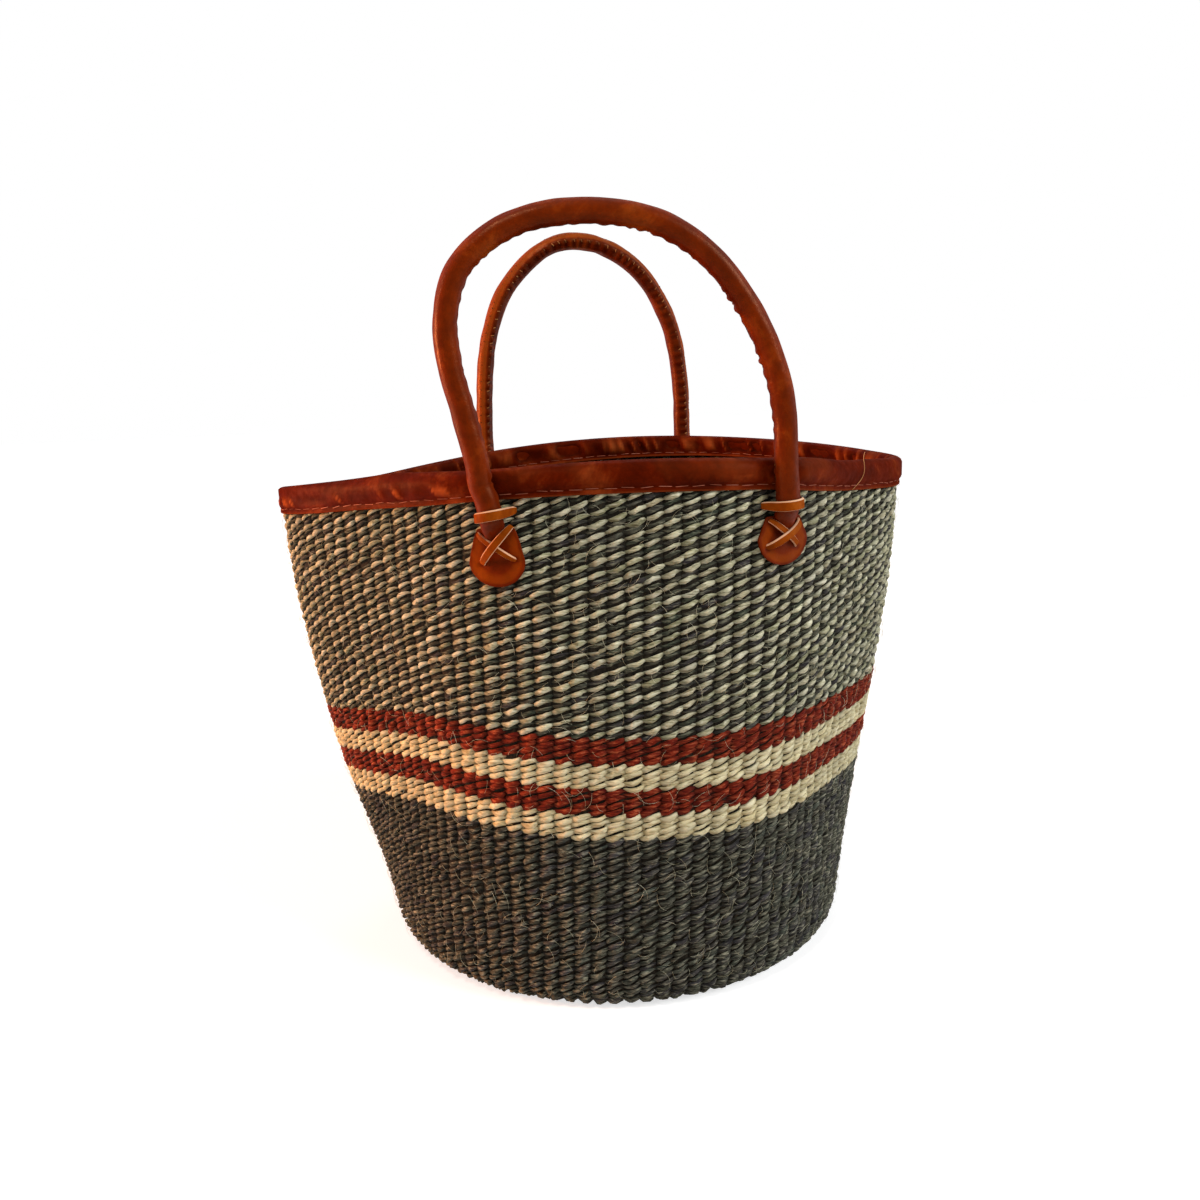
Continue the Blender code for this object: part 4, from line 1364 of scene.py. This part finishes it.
def patch(name, seat, wide, high, rise, laces, side):
    """A shield on the wall, raised by this much, with dents where the laces' ends go in."""
    outline = np.array(patch_outline(wide, high))
    centre = np.array([0, patch_height * high * 0.52])
    deselect_all()
    bpy.ops.mesh.primitive_circle_add(vertices=len(outline), radius=1)
    made = bpy.context.object
    for vertex, (x, down) in zip(made.data.vertices, outline - centre):
        vertex.co = (x, -down, 0)
    bpy.ops.object.mode_set(mode="EDIT")
    bpy.ops.mesh.select_all(action="SELECT")
    for shrink in (0.93, 0.90, 0.80, 0.70, 0.60, 0.45):
        bpy.ops.mesh.extrude_edges_move(TRANSFORM_OT_translate={"value": (0, 0, 0)})
        bpy.ops.transform.resize(value=(shrink, shrink, 1), center_override=(0, 0, 0))
    bpy.ops.mesh.edge_face_add()
    bpy.ops.object.mode_set(mode="OBJECT")
    faces_out(made)
    apply_modifier(made, "SOLIDIFY", thickness=patch_thickness, offset=1)
    apply_modifier(made, "BEVEL", width=0.0004, segments=2, limit_method="ANGLE",
                   angle_limit=math.radians(50))
    apply_modifier(made, "SUBSURF", levels=1, render_levels=1)
    flat = points_of(made)
    flat[:, 2] -= flat[:, 2].min()
    radius = np.hypot(flat[:, 0], flat[:, 1])
    turn = np.arctan2(flat[:, 1], flat[:, 0])
    edge_turn = np.arctan2(-(outline - centre)[:, 1], outline[:, 0])
    order = np.argsort(edge_turn)
    reach = np.interp(turn, edge_turn[order], np.hypot(*(outline - centre).T)[order], period=2 * pi)
    share = radius / reach
    dent = 0
    for slope, run, lower, _, _ in laces:
        for hole in (-run - 0.0008, run + 0.0008):
            x = hole * math.cos(slope)
            y = centre[1] - patch_height * lace_place_share - rise - lower + hole * math.sin(slope)
            dent = dent + np.exp(-(((flat[:, 0] - x) / 0.0014) ** 2 + ((flat[:, 1] - y) / 0.0013) ** 2))
    dent = np.clip(dent, 0, 1)
    lift = flat[:, 2] + gap + 0.00045 * share ** 5 - 0.00055 * dent * (flat[:, 2] > patch_thickness / 2)
    lift = lift + 0.00012 * np.sin(flat[:, 0] * 700) * np.sin(flat[:, 1] * 520)
    down = centre[1] - flat[:, 1]
    # Painted shade: darker at the shield's edge, in the lace dents, in its middle under the laces and near
    # its top under the keeper
    edge_shade = smooth_step((share - 0.84) / 0.12)
    belly = smooth_step((share - 0.35) / 0.35)
    crease_of(made, np.clip(-0.35 + 0.75 * belly - 0.65 * edge_shade - 1.2 * dent
                            - 0.35 * smooth_step((0.006 - down) / 0.006), -1, 1))
    drop = patch_top_drop - rise + down
    move_points(made, on_wall(seat + flat[:, 0], drop, np.maximum(lift, gap / 2), side))
    faces_out(made)
    settle(name + "_shield", made, patch_hide, [name + "_patch"])


# %% [markdown]
# ## The anchors
# At each end of a handle the tube passes under a keeper, whose ends go through slits in the weave
# and are tied inside. Its flattened tip is held on the patch by two crossed laces.

# %% Keepers, laces and ties
upward = np.array([0, 0, 1.0])
strap_places = np.linspace(-1, 1, 41)       # places along a lace or a tie, from end to end


def keeper(name, centre, seat, tilt, side):
    """A strap over the tube, from slit to slit, with its right end this much higher."""
    _, outward, along = seat_frame(seat, keeper_drop, side)
    around = tube_radius + keeper_clearance + leather / 2
    turns = np.linspace(pi * 0.96, pi * 0.04, 11)[:, None]
    way = along + np.array([0, 0, tilt / keeper_half_width])
    path = list(np.array(centre) + (way * np.cos(turns) + outward * np.sin(turns)) * around)
    for end in (-1, 1):
        foot, face, _ = seat_frame(seat + end * keeper_half_width, keeper_drop - end * tilt, side)
        stands = [foot + face * out for out in (-0.0016, 0.0004, 0.0017)]
        path = stands + path if end < 0 else path + stands[::-1]
    made = strap(smooth_route(path, 60), keeper_height, upward, outward, 40, ends=0.5, skived=0.0007)
    settle(name + "_keeper_strap", made, [lace_hide, raw_edge], [name + "_keeper"])


def lace(name, seat, rise, slope, reach, lower, width, stand, side):
    """A lace over the tip, from one hole in the patch to the other."""
    rest = gap + patch_thickness + leather * 0.35
    drop = lace_drop - rise + lower
    _, outward, _ = seat_frame(seat, drop, side)
    run = (reach + 0.0010) * strap_places
    out = rest + stand * np.cos(strap_places * pi / 2) ** 0.7 - 0.0018 * np.abs(strap_places) ** 10
    route = on_wall(seat + run * math.cos(slope), drop - run * math.sin(slope), out, side)
    across = np.cross(outward, np.gradient(route, axis=0)) * -side
    made = strap(route, width, across, outward, ends=0.72, skived=0.0006)
    settle(name.replace("lace", "thong"), made, [lace_hide, raw_edge], [name])


def inner_tie(name, seat, side):
    """The tie inside the wall, with a torus bent into its knot at the middle."""
    drops = np.full(len(strap_places), keeper_drop)
    place, outward, _ = seat_frame(seat + tie_half_length * strap_places, drops, side)
    stand = wall + tie_clearance + leather / 2 + 0.0016 * np.exp(-(strap_places / 0.3) ** 2)
    route = place - outward * stand[:, None]
    middle = len(route) // 2
    made = strap(route, tie_height, upward, -outward[middle], ends=0.8)
    deselect_all()
    bpy.ops.mesh.primitive_torus_add(major_segments=28, minor_segments=10, major_radius=0.0017,
                                     minor_radius=0.0008)
    knot = bpy.context.object
    x, y, z = points_of(knot).T[:, :, None]
    z = z + 0.0005 * np.sin(2 * np.arctan2(y, x))
    _, out, along = seat_frame(seat, keeper_drop, side)
    up = np.cross(out, along)
    move_points(knot, route[middle] + along * (0.35 * y + 1.3 * z) - out * x + up * 1.25 * y)
    faces_out(joined([made, knot]))
    settle(name + "_tie_knot", made, [lace_hide, raw_edge], [name + "_inner_tie"])


# %% Anchor the handles
# How each anchor was cut: the keeper's tilt, the shield's width and height shares, how far it
# and its laces sit to the right and up, then each lace's slope, half length, place down, width and stand
lace_stand = 0.0030
over_stand = lace_stand + leather + gap
plain_laces = ((-lace_slope, lace_half_length, 0, lace_width, lace_stand),
               (lace_slope, lace_half_length, 0, lace_width, over_stand))
hand_cut = {
    "front_left": (0.0014, left_patch_share, left_patch_share * 1.09, 0, 0, (
        (-math.radians(38), 0.0102, 0.0007, 0.0030, lace_stand),
        (math.radians(52), 0.0107, 0.0002, 0.0042, over_stand))),
    "front_right": (0.0009, right_patch_share * 1.18, right_patch_share, 0.0014, 0.0010, (
        (-math.radians(41), lace_half_length, 0, lace_width, lace_stand),
        (math.radians(34), 0.0104, 0.0004, 0.0042, over_stand))),
    "back_left": (0, left_patch_share, left_patch_share, 0, 0, plain_laces),
    "back_right": (0, right_patch_share, right_patch_share, 0, 0, plain_laces),
}
for name, handle in handles.items():
    for end, rows, (seat, side) in zip(("left", "right"), handle["stations"], handle["seats"]):
        anchor = f"{name}_{end}"
        tilt, wide, high, shift, rise, laces = hand_cut[anchor]
        keeper(anchor, rows[len(end_tip_shares)][:3], seat, tilt, side)
        patch(anchor, seat + shift, wide, high, rise, laces, side)
        for which, cut in zip(("under", "over"), laces):
            lace(f"{anchor}_lace_{which}", seat + shift, rise, *cut, side)
        inner_tie(anchor, seat, side)

# %% [markdown]
# ## Loose fibres
# Sisal is never clean: fibre ends stand off every strand and catch the light. A few hairs of
# different lengths are drawn, and two thousand copies are scattered over the wall, clear of the
# shields.

# %% Scatter the fibres
hair_rings, hair_sides = 6, 3
hair_radius, hair_tip_radius = 0.00007, 0.00003
hair_stand = 0.0007
shield_reach = 0.021
# How many of each, their length, their curl and how far they rise
fibre_kinds = ((900, 0.0050, 0.0007, 0.0009), (700, 0.0080, -0.0012, 0.0011),
               (460, 0.0110, 0.0020, 0.0012), (120, 0.0160, -0.0030, 0.0014))
fibre_points, fibre_yarn = [], []
shields = np.array([on_wall(seat, patch_top_drop + 0.008, 0.002, side) for seat, side in seats])
for fibre_count, length, curl, rise in fibre_kinds:
    centres = [(length * (s - 0.5), rise * 4 * s * (1 - s) + rise * 0.5 * s,
                curl * (4 * (s - 0.45) ** 2 - 0.4)) for s in np.linspace(0, 1, hair_rings)]
    hair = drawn_rod(hair_sides, centres,
                     [(hair_radius, hair_radius)] * (hair_rings - 1) + [(hair_tip_radius, hair_tip_radius)])
    position = random.uniform(0, warp_count, fibre_count)
    lift = random.uniform(0.020, wall_lift - 0.020, fibre_count)
    tilt = random.uniform(0, 2 * pi, fibre_count)
    frames = wall_frames(warp_angle(position), lift, np.full(fibre_count, hair_stand), tilt)
    off_shields = np.linalg.norm(frames[0][:, None] - shields, axis=-1).min(-1)
    clear = off_shields > shield_reach + length / 2
    fibre_points.append(copies(hair, [part[clear] for part in frames]))
    tone = random.uniform(0.5, 1.2, fibre_count)[clear]
    fibre_yarn.append(np.repeat(np.stack([tone, tone, 0 * tone], -1), hair_rings * hair_sides, axis=0))
points = np.concatenate(fibre_points)
mesh = ringed_mesh("loose_fibres", points, np.tile(np.arange(hair_rings) * 0.002, (len(points), 1)),
                   np.arange(hair_sides + 1) * 0.0002, yarn=np.concatenate(fibre_yarn))
placed("loose_fibres", mesh, pale_yarn)

cad_left = [name for name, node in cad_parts.items() if not node.hide_render]
print(len(cad_left), "CAD nodes still show:", ", ".join(sorted(cad_left)))
